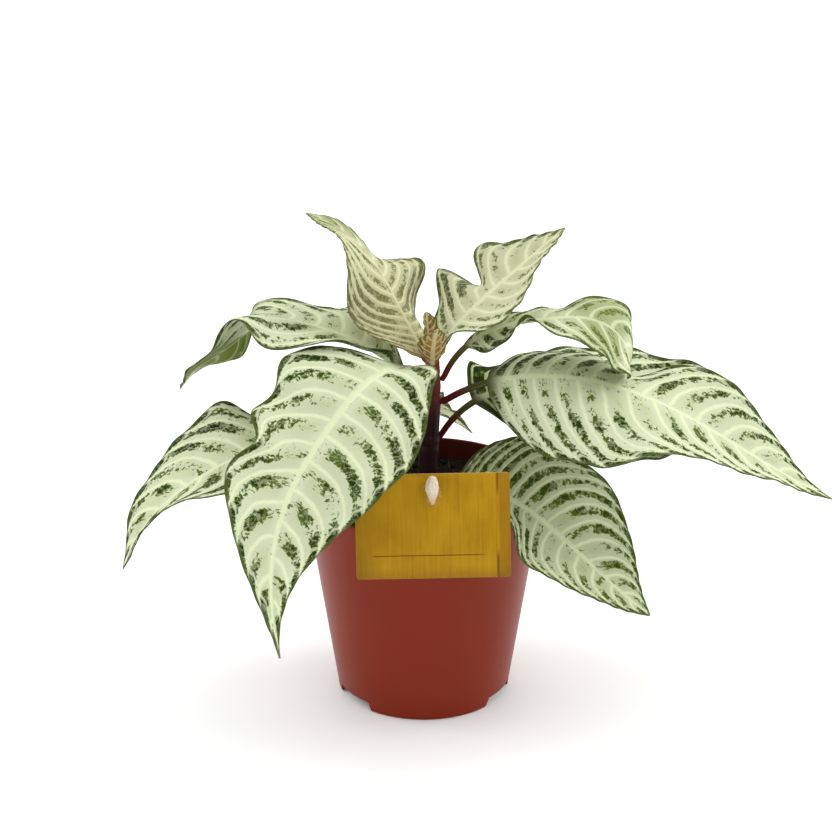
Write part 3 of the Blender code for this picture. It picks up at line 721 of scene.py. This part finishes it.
def leafRows(leaf):
    stalk = leaf["petiole"] / leaf["length"]
    rows = max(40, round(bladeLength(leaf) / blade["rowLength"]))
    x = np.linspace(0, 1, rows + 1)
    return np.concatenate([np.linspace(0, stalk, blade["stalkRows"] + 1)[:-1],
                           stalk + (1 - stalk) * (x - 0.05 * np.sin(2 * np.pi * x))])


def bladeGrid(leaf, place, across, stalkHalf):
    # points in rows from foot to tip and columns from the right margin to the left, the half width at each,
    # and the number of veins up to it
    middle = midrib(leaf, place)
    left, up = directions(leaf, place)[1:]
    roll = angles(leaf, "roll", place)[:, None]
    sideAxis = left * np.cos(roll) + up * np.sin(roll)
    upAxis = up * np.cos(roll) - left * np.sin(roll)
    onBlade, share = outline(leaf, place)
    curl = angles(leaf, "curl", place)
    height, count, phase = leaf["wave"]
    slant = leaf["width"] / 2 / bladeLength(leaf) * (0.3 + 1.1 * onBlade) * share**0.5
    grid = np.zeros((len(place), len(across), 3))
    halves = np.zeros(grid.shape[:2])
    veins = np.zeros(grid.shape[:2])
    for j, a in enumerate(across):
        side, sign = ("left", 1) if a > 0 else ("right", -1)
        reach = abs(a)
        half = leaf["width"] / 2 * share
        lift = np.zeros_like(place)
        for lobeSide, spot, spread, extra, rise in leaf["lobes"]:
            if lobeSide == side:
                swell = np.exp(-((onBlade - spot) / spread)**2) * np.clip(onBlade / 0.06, 0, 1)
                half = half + extra * swell
                lift = lift + rise * swell * reach**2
        half = half * (onBlade > 0) + stalkHalf * (1 - onBlade) + blade["tipHalf"] * onBlade
        soft = np.clip(half / (blade["softFold"] * leaf["width"] + 2.0), 0, 1)
        soft = soft * np.clip((1 - onBlade) / blade["softTip"], 0, 1)
        fold = angles(leaf, side, place) * soft
        bends = [fold + curl * soft * reach * (k + 0.5) / blade["bends"] for k in range(blade["bends"])]
        out = half * reach * np.mean([np.cos(bend) for bend in bends], 0)
        over = half * reach * np.mean([np.sin(bend) for bend in bends], 0) + lift
        wave = np.sin(2 * np.pi * count * onBlade + math.radians(phase) * sign)
        over = over + height * reach**2 * share * wave
        grid[:, j] = middle + sideAxis * (sign * out)[:, None] + upAxis * over[:, None]
        halves[:, j] = half
        # lateral veins leave the midrib almost square and bend towards the tip as they near the margin
        run = np.maximum(onBlade - slant * (0.3 * reach + 0.7 * reach**3) + 0.08, 0.004)
        crowd = leaf["crowd"]
        veins[:, j] = leaf["veins"] * run**crowd / (1.08**crowd - 0.08**crowd)
    return seat(leaf, grid), halves, veins, onBlade, upAxis


def seat(leaf, grid):
    # along its heading, until its nearest point is just clear of the bark
    for _ in range(3):
        spots = grid.reshape(-1, 3)
        spots = spots[np.abs(spots[:, 2] - leaf["height"]) < 30]
        sway, radius = stemAt(spots[:, 2])
        clear = np.min(np.hypot(spots[:, 0] - sway, spots[:, 1]) - radius)
        grid = grid + outward(leaf) * (blade["gap"] - clear)
    return grid


def veinGauge(leaf, ti, tj, veins):
    # distance between veins at each point, from how fast their count changes over the surface
    gi, gj = np.gradient(veins, axis=0), np.gradient(veins, axis=1)
    ii, jj, ij = (ti * ti).sum(-1), (tj * tj).sum(-1), (ti * tj).sum(-1)
    area = np.maximum(ii * jj - ij**2, 1e-9)
    steep = np.sqrt(np.maximum((gi**2 * jj - 2 * gi * gj * ij + gj**2 * ii) / area, 1e-9))
    return np.clip(1 / steep, 0.5, 1.6 * bladeLength(leaf) / leaf["veins"])


def leafField(leaf):
    # the finished points of the upper side, the depth below each, and what the paint has to know of it
    place = leafRows(leaf)
    columns = 2 * max(12, round(leaf["width"] / blade["columnWidth"] / 2))
    across = np.linspace(-1, 1, columns + 1)
    stalkHalf = min(blade["petioleHalf"], 0.5 + 0.019 * leaf["width"])
    grid, halves, veins, onBlade, upAxis = bladeGrid(leaf, place, across, stalkHalf)
    flat = np.zeros_like(halves)
    onBlade = onBlade[:, None] + flat
    reach = np.abs(across) + flat
    alongMm = (place * leaf["length"])[:, None] + flat
    acrossMm = across * halves
    ti, tj = np.gradient(grid, axis=0), np.gradient(grid, axis=1)
    gauge = veinGauge(leaf, ti, tj, veins)
    veins = veins + blade["veinShift"] * np.sign(across)    # the two halves' veins don't meet

    # quilting between the veins, a groove along the midrib, and a crimped margin
    between = 1 - np.abs(2 * (veins - np.floor(veins)) - 1)
    pillow = np.sin(np.pi / 2 * between)**0.9
    calm = softStep(reach, 0.02, 0.22) * softStep(onBlade, 0.0, 0.12) * (1 - softStep(onBlade, 0.85, 1.0))
    margin = 1 - softStep(reach, 0.8, 1.0)
    spacing = bladeLength(leaf) / leaf["veins"]
    room = np.clip(gauge / spacing, 0, 1)
    groove = blade["ribGroove"] * np.exp(-(acrossMm / blade["grooveHalf"])**2)
    relief = blade["quilt"] * spacing / blade["quiltAt"] * pillow * calm * (0.35 + 0.65 * margin) * room
    relief -= groove * softStep(onBlade, 0.0, 0.1) * (1 - onBlade)
    relief += leaf["crimp"] * reach**5 * np.sin(2 * np.pi * veins) * calm * 0.8
    stalkRound = 1 - softStep(onBlade, 0.0, 0.05)
    relief += 0.9 * stalkHalf / blade["petioleHalf"] * np.sqrt(np.clip(1 - reach**2, 0, 1)) * stalkRound
    normal = np.cross(tj, ti)
    normal = -normal / np.maximum(np.linalg.norm(normal, axis=-1, keepdims=True), 1e-9)
    facing = np.sign((normal * upAxis[:, None]).sum(-1, keepdims=True).mean())
    grid = grid + normal * facing * relief[..., None]

    # the foot is drawn into the bark, so that no gap shows
    root = 1 - softStep(alongMm, 0.0, blade["rootLength"])
    grid = grid - outward(leaf) * (blade["rootIn"] * root)[..., None]

    leanSide, lean = leaf["lean"]
    lean = lean * softStep(np.sign(across) * (1 if leanSide == "left" else -1), -0.5, 0.5)
    lean = lean * (1 - softStep(onBlade, 0.2, 0.65))
    start, full, fading, gone, olive = leaf["olive"]
    values = dict(
        veins=veins, reach=reach, fromMargin=(1 - reach) * halves, along=alongMm, across=acrossMm,
        khaki=ease(leaf["khaki"], onBlade), dark=ease(leaf["dark"], onBlade) + lean,
        stalk=1 - softStep(onBlade, 0.0, blade["stalkFade"]), gauge=gauge, onBlade=onBlade,
        root=1 - np.clip(alongMm / max(leaf["petiole"], 6), 0, 1), spacing=flat + spacing,
        olive=olive * softStep(onBlade, start, full) * (1 - softStep(onBlade, fading, gone)),
        veinsAlong=veins * spacing, sheetShift=flat + 37.0 * leaf["number"],
        cellShift=flat + 11.0 * leaf["number"],
    )
    return grid, leafDepth(leaf, onBlade, acrossMm, reach, stalkHalf), values


def leafDepth(leaf, onBlade, acrossMm, reach, stalkHalf):
    # a thin blade, a midrib that stands out below, and a round petiole
    stalkDepth = min(blade["petioleDepth"], 1.0 + 0.035 * leaf["width"])
    stalkDepth = stalkDepth + 0.5 * stalkHalf / blade["petioleHalf"]
    rib = blade["ribDepth"] * min(1.0, leaf["width"] / 60)
    depth = blade["edge"] + (rib - blade["edge"]) * (1 - onBlade) * np.exp(-(acrossMm / blade["ribHalf"])**2)
    stalk = np.exp(-(np.maximum(np.abs(acrossMm) - 1.0, 0) / 0.8)**2)
    stalk = (1 - softStep(onBlade, 0.0, blade["stalkFade"])) * stalk
    roundDepth = stalkDepth * (0.3 + 0.7 * np.sqrt(np.clip(1 - reach**2, 0, 1)))
    return depth + (np.maximum(roundDepth, depth) - depth) * stalk


def makeLeaf(name, leaf, paints):
    grid, depth, values = leafField(leaf)
    rows, columns = grid.shape[0] - 1, grid.shape[1] - 1
    clearPick()
    bpy.ops.mesh.primitive_grid_add(x_subdivisions=columns, y_subdivisions=rows, size=1.0)
    obj = rename(name + "_blade")
    flat = readPoints(obj)
    i = np.rint((flat[:, 1] + 0.5) * rows).astype(int)
    j = np.rint((0.5 - flat[:, 0]) * columns).astype(int)
    writePoints(obj, (grid[i, j] + shift) * mm)
    for field, parts in leafFields.items():
        layer = obj.data.attributes.new(field, "FLOAT_VECTOR", "POINT")
        vectors = np.stack([values[part][i, j] for part in parts], -1)
        layer.data.foreach_set("vector", vectors.astype(np.float32).ravel())
    thick = obj.vertex_groups.new(name="depth")
    most = float(depth.max())
    levels = np.rint(depth[i, j] / most * blade["depthLevels"]) / blade["depthLevels"]
    for level in np.unique(levels):
        thick.add(np.nonzero(levels == level)[0].tolist(), float(level), "REPLACE")
    skin = obj.modifiers.new("thickness", "SOLIDIFY")
    skin.thickness = most * mm
    skin.vertex_group = "depth"
    skin.offset = -1.0
    skin.material_offset = 1
    applyAll(obj)
    smooth(obj, blade["smooth"])
    finishPiece(obj, name, paints)


leafTones = dict(
    # the hollow tone on the next line is a painted shade
    ground=(202, 210, 178), groundDull=(191, 198, 164), hollow=(174, 179, 134),
    vein=(215, 222, 182), olive=(110, 124, 36), oliveDull=(86, 102, 24),
    green=(84, 102, 36), greenDeep=(36, 50, 8), greenSoft=(102, 98, 38), margin=(72, 86, 38),
    tan=(194, 190, 154), tanDull=(166, 156, 108), gold=(166, 122, 58), rib=(212, 202, 158),
    maroon=(84, 28, 28), stalkGreen=(68, 74, 38), stalkPale=(122, 112, 82),
    under=(108, 118, 50), underDull=(78, 90, 32), underVein=(152, 164, 98),
)
hue = SimpleNamespace(**leafTones)


def readLeaf(paint):
    # what a leaf carries at its points, and the lines that both sides share
    at = SimpleNamespace(sheet=paint.attribute("leafSheet"), cells=paint.attribute("leafCells"))
    for field in ("leafPlace", "leafTone", "leafGauge", "leafFlush"):
        for part, wire in zip(leafFields[field], paint.split(paint.attribute(field))):
            setattr(at, part, wire)
    at.young = paint.least(at.khaki, 1.0)
    at.wobble = paint.noise(at.sheet, 0.11, 3.0) - 0.5
    at.fromVein = paint.fold(at.veins + at.wobble * 0.2)
    return at


def leafUpperPaint():
    paint = Paint("leaf upper side", 0.5, 0.02)
    at = readLeaf(paint)
    between = at.fromVein * 2
    bandPlace = paint.fold(at.veins + at.wobble * 0.3 + 0.09) * 2

    # specks of green that crowd into clusters, cut apart by the finest veins
    outer = paint.step(at.reach, 0.04, 0.55)
    fine = paint.noise(at.sheet, 0.55, 3.0) - 0.5
    drawn = paint.noise(paint.stretch(at.cells, (0.85, 0.38, 1.0)), 1.0, 3.0, 0.6, 0.3) - 0.5
    rounded = paint.noise(at.sheet, 0.56, 3.0, 0.6, 0.3) - 0.5
    speck = drawn * (1 - outer) + rounded * outer
    cellPlace = paint.node("ShaderNodeVectorMath", {"operation": "ADD"},
                           {0: paint.stretch(at.sheet, (0.27, 0.27, 1.0)),
                            1: paint.join(fine * 1.3, fine * -1.3, 0.0)})
    lot = paint.split(paint.cells(cellPlace, "F1", "Color"))[0]
    edge = paint.cells(cellPlace, "DISTANCE_TO_EDGE", "Distance")
    cluster = paint.step(paint.noise(at.sheet, 0.085, 2.0), 0.36, 0.62)
    deep = paint.step(at.dark, 1.3, 2.1)
    band = paint.step(bandPlace, 0.42 - 0.16 * at.dark, 1.02 - 0.24 * at.dark)
    rim = 1 - paint.step(at.fromMargin - between * 1.5, 0.8, 5.0)
    chance = band * (0.32 + 0.56 * outer) * (0.42 + 0.8 * cluster) * at.dark
    chance = chance + rim * 0.68 * (0.6 + 0.4 * between)
    amount = chance * 1.2 - 0.4 * lot - 0.3 + speck * 2.5
    ladder = paint.most(paint.step(edge + speck * 0.35, -0.02, 0.13), deep)
    isGreen = paint.step(amount, -0.06, 0.16) * (0.6 + 0.4 * ladder)

    # pale lines: the midrib, the lateral veins, and the one that runs round inside the margin
    veinHalf = paint.least(1.1 - 0.5 * at.reach, at.gauge * 0.085) * (1.2 - 0.3 * paint.least(at.dark, 2.0))
    onVein = 1 - paint.step(at.fromVein * at.gauge + speck * 0.9, veinHalf * 0.35, veinHalf * 1.7)
    ribHalf = paint.least(2.3 - 1.7 * at.onBlade, at.spacing * 0.16 + 0.2)
    onRib = 1 - paint.step(abs(at.across) + speck * 0.8, ribHalf * 0.5, ribHalf * 1.35)
    loop = abs(at.fromMargin - 2.2 - between * 1.9 - at.wobble * 2.0)
    onLoop = (1 - paint.step(loop, 0.2, 0.9)) * paint.step(at.reach, 0.3, 0.5) * (0.7 - 0.7 * deep)
    pale = paint.most(paint.most(onVein, onRib), onLoop)
    onEdge = 1 - paint.step(at.fromMargin + speck * 2.4 + at.wobble * 2.0 - between * 0.8, 0.4, 1.3)
    onEdge = onEdge * (1 - at.stalk)

    # colours
    patch = paint.noise(at.sheet, 0.05, 2.0)
    ground = paint.mix(patch, hue.ground, hue.groundDull)
    # painted shade: the pale ground is dulled in the hollows between the veins near the midrib, and all over
    # where a leaf's dark passes about 1.3
    hollow = between * (1 - paint.step(at.reach, 0.25, 0.75)) * paint.step(at.reach, 0.05, 0.2)
    hollow = paint.most(hollow * 0.55, paint.step(at.dark, 1.3, 2.2) * 0.7)
    ground = paint.mix(hollow, ground, hue.hollow)
    tan = paint.mix(patch * 0.6 + between * 0.4, hue.tan, hue.tanDull)
    gold = paint.mix(paint.step(at.khaki, 0.85, 1.35), tan, hue.gold)
    ground = paint.mix(at.young, ground, gold)
    green = paint.mix(paint.step(amount, 0.1, 0.75), hue.green, hue.greenDeep)
    green = paint.mix(at.young * 0.6, green, hue.greenSoft)
    coat = paint.mix(isGreen * (1 - 0.35 * at.young), ground, green)
    # an olive flush: the leaf's own olive green, and over leaf_right_front a painted shade
    coat = paint.mix(at.olive, coat, paint.mix(patch, hue.olive, hue.oliveDull))
    rib = paint.mix(at.young, hue.vein, hue.rib)
    rib = paint.mix(at.olive * 0.35, rib, hue.underVein)
    coat = paint.mix(pale * (0.9 - 0.45 * at.olive), coat, rib)
    coat = paint.mix(onEdge * (0.85 - 0.6 * at.young), coat, hue.margin)
    streak = paint.noise(paint.stretch(at.sheet, (0.12, 1.6, 1.0)), 1.0, 2.0)
    petiole = paint.mix(paint.step(streak, 0.45, 0.75) * 0.6, hue.stalkGreen, hue.stalkPale)
    petiole = paint.mix(paint.step(at.root + streak * 0.4, 0.35, 0.95), petiole, hue.maroon)
    petiole = paint.mix(at.young * 0.85, petiole, hue.gold)
    paint.colour(paint.mix(at.stalk, coat, petiole))
    paint.feed("Roughness", 0.46 + 0.14 * patch + 0.06 * isGreen)
    paint.bump(paint.step(edge, 0.0, 0.35) * 0.4 + speck * 0.8 - pale * 0.4, 0.3, 0.0005)
    return paint.mat


def leafUnderPaint():
    paint = Paint("leaf underside", 0.55, 0.03)
    at = readLeaf(paint)
    onVein = 1 - paint.step(at.fromVein * at.gauge, 0.3, 1.1)
    onRib = 1 - paint.step(abs(at.across), 0.9, 1.9)
    net = paint.cells(paint.stretch(at.cells, (0.30, 0.45, 1.0)), "DISTANCE_TO_EDGE", "Distance")
    onNet = 1 - paint.step(net, 0.02, 0.12)
    patch = paint.noise(at.sheet, 0.07, 3.0)
    ground = paint.mix(patch, hue.under, hue.underDull)
    gold = paint.mix(patch, hue.tanDull, hue.gold)
    ground = paint.mix(at.young * 0.8, ground, gold)
    pale = paint.most(paint.most(onVein, onRib) * 0.75, onNet * 0.35)
    coat = paint.mix(pale, ground, hue.underVein)
    coat = paint.mix((1 - paint.step(at.fromMargin, 0.4, 1.2)) * 0.5, coat, hue.green)
    petiole = paint.mix(paint.step(at.root, 0.2, 0.8), hue.stalkGreen, hue.maroon)
    petiole = paint.mix(at.young * 0.7, petiole, hue.gold)
    paint.colour(paint.mix(at.stalk, coat, petiole))
    paint.bump(onNet * 0.5 + onVein, 0.4, 0.0006)
    return paint.mat


leafPaints = [leafUpperPaint(), leafUnderPaint()]
for number, (name, leaf) in enumerate(leaves.items(), 1):
    makeLeaf(name, {**usualLeaf, **leaf, "number": number}, leafPaints)
    print(name, "made")


# Tag, a printed card that leans on the rim, and its cotton tie

tag = {
    "width": 74.3, "height": 51.0, "thick": 0.8, "corner": 1.5, "edgeRound": 0.12, "middle": 4.5,
    "overRim": 31.0, "lean": 15.0, "turn": 1.1, "hole": 2.1, "holeDrop": 3.6, "gap": 0.3,
    "ruleUp": 11.2, "ruleLeft": -30.0, "ruleRight": 27.0, "board": 31.6, "seam": 12.5,
    "wood": ((0.25, (146, 100, 6)), (0.75, (198, 152, 28)), (0.5, (178, 134, 12))),
    "back": ((196, 172, 122), (222, 202, 158)),
}


def onTag(across, down, out):
    # right of its middle, below its top edge, and out from its back
    lean, turn = math.radians(tag["lean"]), math.radians(tag["turn"])
    up = tag["overRim"] - down
    side = across * math.cos(turn) - up * math.sin(turn)
    rise = across * math.sin(turn) + up * math.cos(turn)
    forward = pot["rimRadius"] + 1.2 * tag["gap"] - rise * math.sin(lean) + out * math.cos(lean)
    height = pot["height"] + rise * math.cos(lean) + out * math.sin(lean)
    return Vector((tag["middle"] + side, -forward, height))


def tagPaint():
    # the front shows wood boards and a thin rule, as far across and down as the card's own map says
    paint = Paint("printed card", 0.42, 0.12)
    place = paint.node("ShaderNodeUVMap", {"uv_map": "card"}, {})
    x, y = paint.split(place)[:2]
    grain = paint.noise(paint.stretch(place, (0.9, 0.035, 1.0)), 1.0, 4.0, 0.65)
    fine = paint.noise(paint.stretch(place, (3.2, 0.10, 1.0)), 1.0, 3.0, 0.6)
    cloud = paint.noise(place, 0.05, 3.0)
    stops = [(spot, tone(*colour)) for spot, colour in tag["wood"]]
    wood = paint.node("ShaderNodeValToRGB", {"stops": stops}, {0: grain * 0.5 + cloud * 0.5})
    left = 1 - paint.step(x + cloud * 16, -34.0, -12.0)
    right = paint.step(x, tag["board"], tag["board"] + 0.8)
    crack = 1 - paint.step(abs(x - tag["board"] + fine * 0.8), 0.25, 1.0)
    ends = paint.most(1 - paint.step(y, 6.0, 13.0), paint.step(y, 36.0, 42.0))
    seam = (1 - paint.step(abs(x - tag["seam"]), 0.1, 0.6)) * (1 - paint.step(y, 14.0, 26.0))
    foot = paint.step(y + fine * 6, 47.0, 54.0)
    rule = 1 - paint.step(abs(y - (tag["height"] - tag["ruleUp"])), 0.14, 0.34)
    rule = rule * paint.step(x, tag["ruleLeft"], tag["ruleLeft"] + 2)
    rule = rule * (1 - paint.step(x, tag["ruleRight"] - 6, tag["ruleRight"]))
    for share, colour in ((paint.step(fine, 0.55, 0.85) * 0.4, (150, 100, 8)), (left * 0.6, (142, 98, 8)),
                          (right * 0.7, (152, 106, 12)), (crack * ends * 0.75, (92, 56, 14)),
                          (seam * 0.35, (120, 78, 16)), (foot * 0.4, (120, 78, 20)),
                          (rule * 0.85, (88, 46, 12))):
        wood = paint.mix(share, wood, colour)
    paint.colour(wood)
    paint.feed("Roughness", 0.36 + 0.14 * fine)
    paint.bump(fine, 0.06, 0.0003)
    return paint.mat


def makeTag():
    clearPick()
    bpy.ops.mesh.primitive_cube_add(size=1.0)
    card = rename("tag_card")
    card.scale = (tag["width"] * mm, tag["thick"] * mm, tag["height"] * mm)
    bpy.ops.object.transform_apply()
    openMesh(card, "DESELECT")
    bpy.ops.mesh.select_mode(type="EDGE")
    work = bmesh.from_edit_mesh(card.data)
    for edge in work.edges:
        start, end = (vert.co.y for vert in edge.verts)
        edge.select_set(abs(start - end) > 0.5 * tag["thick"] * mm)
    bmesh.update_edit_mesh(card.data)
    bpy.ops.mesh.bevel(offset=tag["corner"] * mm, segments=6)
    bpy.ops.object.mode_set(mode="OBJECT")
    drill(card, tag["hole"], 6, (0, 0, (tag["height"] / 2 - tag["holeDrop"]) * mm), math.pi / 2)
    rounding = card.modifiers.new("edges", "BEVEL")
    rounding.width = tag["edgeRound"] * mm
    rounding.segments = 2
    rounding.limit_method = "ANGLE"
    applyAll(card)

    # the map: across and down from the middle of the top edge
    layer = card.data.uv_layers.new(name="card")
    for loop in card.data.loops:
        spot = card.data.vertices[loop.vertex_index].co / mm
        layer.data[loop.index].uv = (spot.x, tag["height"] / 2 - spot.z)
    for face in card.data.polygons:
        face.material_index = 0 if face.normal.y < -0.5 else 1
    for vert in card.data.vertices:
        x, y, z = vert.co / mm
        vert.co = onTag(x, tag["height"] / 2 - z, tag["thick"] / 2 - y) * mm + axis * mm
    smooth(card, 30)
    back = grainPaint("plain card", 0.8, 1400.0, 0.6, tag["back"], (0.3, 0.0002))
    finishPiece(card, "tag", [tagPaint(), back])


tie = {
    "radius": 1.2, "gap": 0.3, "loopHeight": 107.6, "loopFall": 0.45, "steps": 220, "endSteps": 26,
    "plies": 3, "twist": 5.0, "plyOff": 0.52, "plyRadius": 0.55, "core": 0.85, "fibres": 90,
    "fibreRadius": (0.13, 0.32), "fuzz": 34, "fuzzRadius": 0.07, "fuzzReach": (0.8, 3.2), "seed": 5,
    "behind": ((-2.6, -11.0, 105.2), (0.2, -22.0, 108.5), (2.6, -34.0, 117.0)),
    "through": ((6.0, -7.5), (1.2, -3.0), (0.0, 0.4), (-0.6, 3.0)),
    "drop": ((-2.2, 3.5, 1.5), (-0.2, 4.8, 2.6), (2.4, 5.1, 2.9), (5.0, 4.7, 2.5), (7.6, 3.8, 1.7),
             (10.8, 3.1, 0.8)),
    # after the cream, a painted shade tone and the heights below which it comes in
    "cream": ((226, 208, 180), (246, 236, 218)), "shadeTone": (196, 166, 122), "shadeBelow": (0.1265, 0.1345),
}


def cottonPaint():
    paint = Paint("cotton", 0.9, 0.2)
    place = paint.objectPlace()
    fluff = paint.noise(place, 1500.0, 3.0, 0.6)
    # painted shade: the cord is darker and tanner below the height of the card's hole
    low = 1 - paint.step(paint.split(place)[2], *tie["shadeBelow"])
    paint.colour(paint.mix(low * 0.55, paint.mix(fluff, *tie["cream"]), tie["shadeTone"]))
    paint.bump(fluff, 0.5, 0.0003)
    return paint.mat


def tieRoute():
    # round the stem, behind the card and through its hole
    sway, radius = stemAt(soil["top"] + 6)
    loop = float(radius) + tie["radius"] + 2 * tie["gap"]
    route = []
    for step in range(8):
        angle = math.radians(-80 + 40 * step)
        height = tie["loopHeight"] - tie["loopFall"] * step
        route.append((float(sway) + loop * math.cos(angle), loop * math.sin(angle), height))
    route += list(tie["behind"])
    return route + [tuple(onTag(0, tag["holeDrop"] + down, out)) for down, out in tie["through"]]


def addThread(name, points, radius, taper, sides):
    curve = bpy.data.curves.new(name, "CURVE")
    curve.dimensions = "3D"
    curve.bevel_depth = radius * mm
    curve.bevel_resolution = (sides - 4) // 2
    curve.use_fill_caps = True
    line = curve.splines.new("POLY")
    line.points.add(len(points) - 1)
    for i, (spot, place) in enumerate(zip(line.points, points)):
        spot.co = (*[c * mm for c in place], 1.0)
        spot.radius = taper(i / (len(points) - 1))
    return addObject(name, curve)


def easeLine(keys, steps):
    return np.stack([ease(column, steps) for column in np.array(keys).T], -1)


def frameAlong(line, aside):
    # unit vectors ahead, to the side and square to both
    ahead = np.gradient(line, axis=0)
    ahead /= np.linalg.norm(ahead, axis=1, keepdims=True)
    side = np.cross(ahead, aside)
    side /= np.linalg.norm(side, axis=1, keepdims=True)
    return ahead, side, np.cross(ahead, side)


def around(centre, side, other, away, turn):
    return centre + side * (away * np.cos(turn))[:, None] + other * (away * np.sin(turn))[:, None]


def twistPlies():
    centre = easeLine(tieRoute(), np.linspace(0, 1, tie["steps"])) + shift
    length = np.concatenate([[0], np.cumsum(np.linalg.norm(np.diff(centre, axis=0), axis=1))])
    ahead, side, other = frameAlong(centre, (0.31, 0.17, 0.93))
    threads = []
    for ply in range(tie["plies"]):
        turn = 2 * np.pi * (length / tie["twist"] + ply / tie["plies"])
        points = around(centre, side, other, tie["plyOff"] * tie["radius"], turn)
        threads.append(addThread("ply", points, tie["plyRadius"] * tie["radius"], lambda x: 1.0, 8))
    return threads


def fibreTaper(place):
    return 1.0 if place < 0.8 else 1.0 - 3.5 * (place - 0.8)


def frayEnd():
    # fibres that bulge round the drop and come together at its foot, and fuzz that stands off them
    drop = [[*onTag(0, tag["holeDrop"] + down, out), thick] for down, out, thick in tie["drop"]]
    steps = np.linspace(0, 1, tie["endSteps"])
    spine = easeLine(drop, steps)
    centre, thick = spine[:, :3], spine[:, 3]
    ahead, side, other = frameAlong(centre, (1.0, 0.0, 0.0))
    threads = [addThread("core", centre + shift, 1.0, lambda x: tie["core"] * np.interp(x, steps, thick), 12)]
    for fibre in range(tie["fibres"]):
        turn = random.uniform(0, 2 * math.pi)
        swing = random.uniform(-2.2, 2.2)
        reach = random.uniform(0.86, 1.0)
        last = random.randint(17, 26)
        phase = turn + swing * steps + 0.25 * np.sin(steps * random.uniform(6, 14))
        away = thick * reach * (1 + 0.09 * np.sin(steps * random.uniform(9, 24) + turn * 3))
        points = around(centre, side, other, away, phase)[:last] + shift
        threads.append(addThread("fibre", points, random.uniform(*tie["fibreRadius"]), fibreTaper, 6))
    for fibre in range(tie["fuzz"]):
        turn = random.uniform(0, 2 * math.pi)
        start = random.randint(3, 24)
        away = thick[start] * 0.9
        root = centre[start] + side[start] * away * math.cos(turn) + other[start] * away * math.sin(turn)
        out = side[start] * math.cos(turn) + other[start] * math.sin(turn)
        reach = random.uniform(*tie["fuzzReach"])
        droop = random.uniform(0.2, 1.2)
        points = [root + out * reach * x + ahead[start] * reach * x * 0.8 - np.array([0, 0, droop * x * x])
                  for x in np.linspace(0, 1, 7)]
        points = np.array(points) + shift
        threads.append(addThread("fuzz", points, tie["fuzzRadius"], lambda x: 1.0 - 0.7 * x, 4))
    return threads


def makeTie():
    random.seed(tie["seed"])
    pick(*twistPlies(), *frayEnd())
    bpy.ops.object.convert(target="MESH")
    bpy.ops.object.join()
    cord = rename("tie_cord")
    closeSeams(cord)
    smooth(cord, 60)
    finishPiece(cord, "tag_tie", [cottonPaint()])


makeTag()
makeTie()
print("tag and tie made")


# Floor and light

stage = {
    "floorSize": 60.0, "floorDrop": 0.0002, "floorTone": (0.935, 0.95, 0.965), "floorGlow": 0.05, "sky": 0.52,
    "overheadPlace": (0.2, 0.45, 2.0), "overheadPower": 1.95, "overheadSpread": 130,
    "lamps": {"key": ((-1.6, 0.1, 1.0), 11.0), "side": ((1.6, 0.4, 1.0), 15.0)}, "lampSize": 1.4,
}
white = (1.0, 1.0, 1.0, 1.0)


def makeFloor():
    clearPick()
    bpy.ops.mesh.primitive_plane_add(size=stage["floorSize"], location=(0, 0, -stage["floorDrop"]))
    floor = rename("floor")
    bpy.ops.object.transform_apply()
    paint = Paint("pale floor", 0.7, 0.2)
    paint.shader.inputs["Base Color"].default_value = (*stage["floorTone"], 1.0)
    paint.shader.inputs["Emission Color"].default_value = white
    paint.shader.inputs["Emission Strength"].default_value = stage["floorGlow"]
    floor.data.materials.append(paint.mat)


def addLight(name, kind, place, power):
    light = bpy.data.lights.new(name, kind)
    light.energy = power
    obj = addObject(name, light)
    obj.location = place
    obj.rotation_euler = (-Vector(place)).to_track_quat("-Z", "Y").to_euler()
    return light


makeFloor()
world = bpy.data.worlds.new("studio")
bpy.context.scene.world = world
world.use_nodes = True
sky = world.node_tree.nodes["Background"]
sky.inputs["Color"].default_value = white
sky.inputs["Strength"].default_value = stage["sky"]
overhead = addLight("overhead", "SUN", stage["overheadPlace"], stage["overheadPower"])
overhead.angle = math.radians(stage["overheadSpread"])
for name, (place, power) in stage["lamps"].items():
    lamp = addLight(name, "AREA", place, power)
    lamp.shape = "DISK"
    lamp.size = stage["lampSize"]
bpy.context.scene.view_settings.view_transform = "Standard"
print("floor and light made")
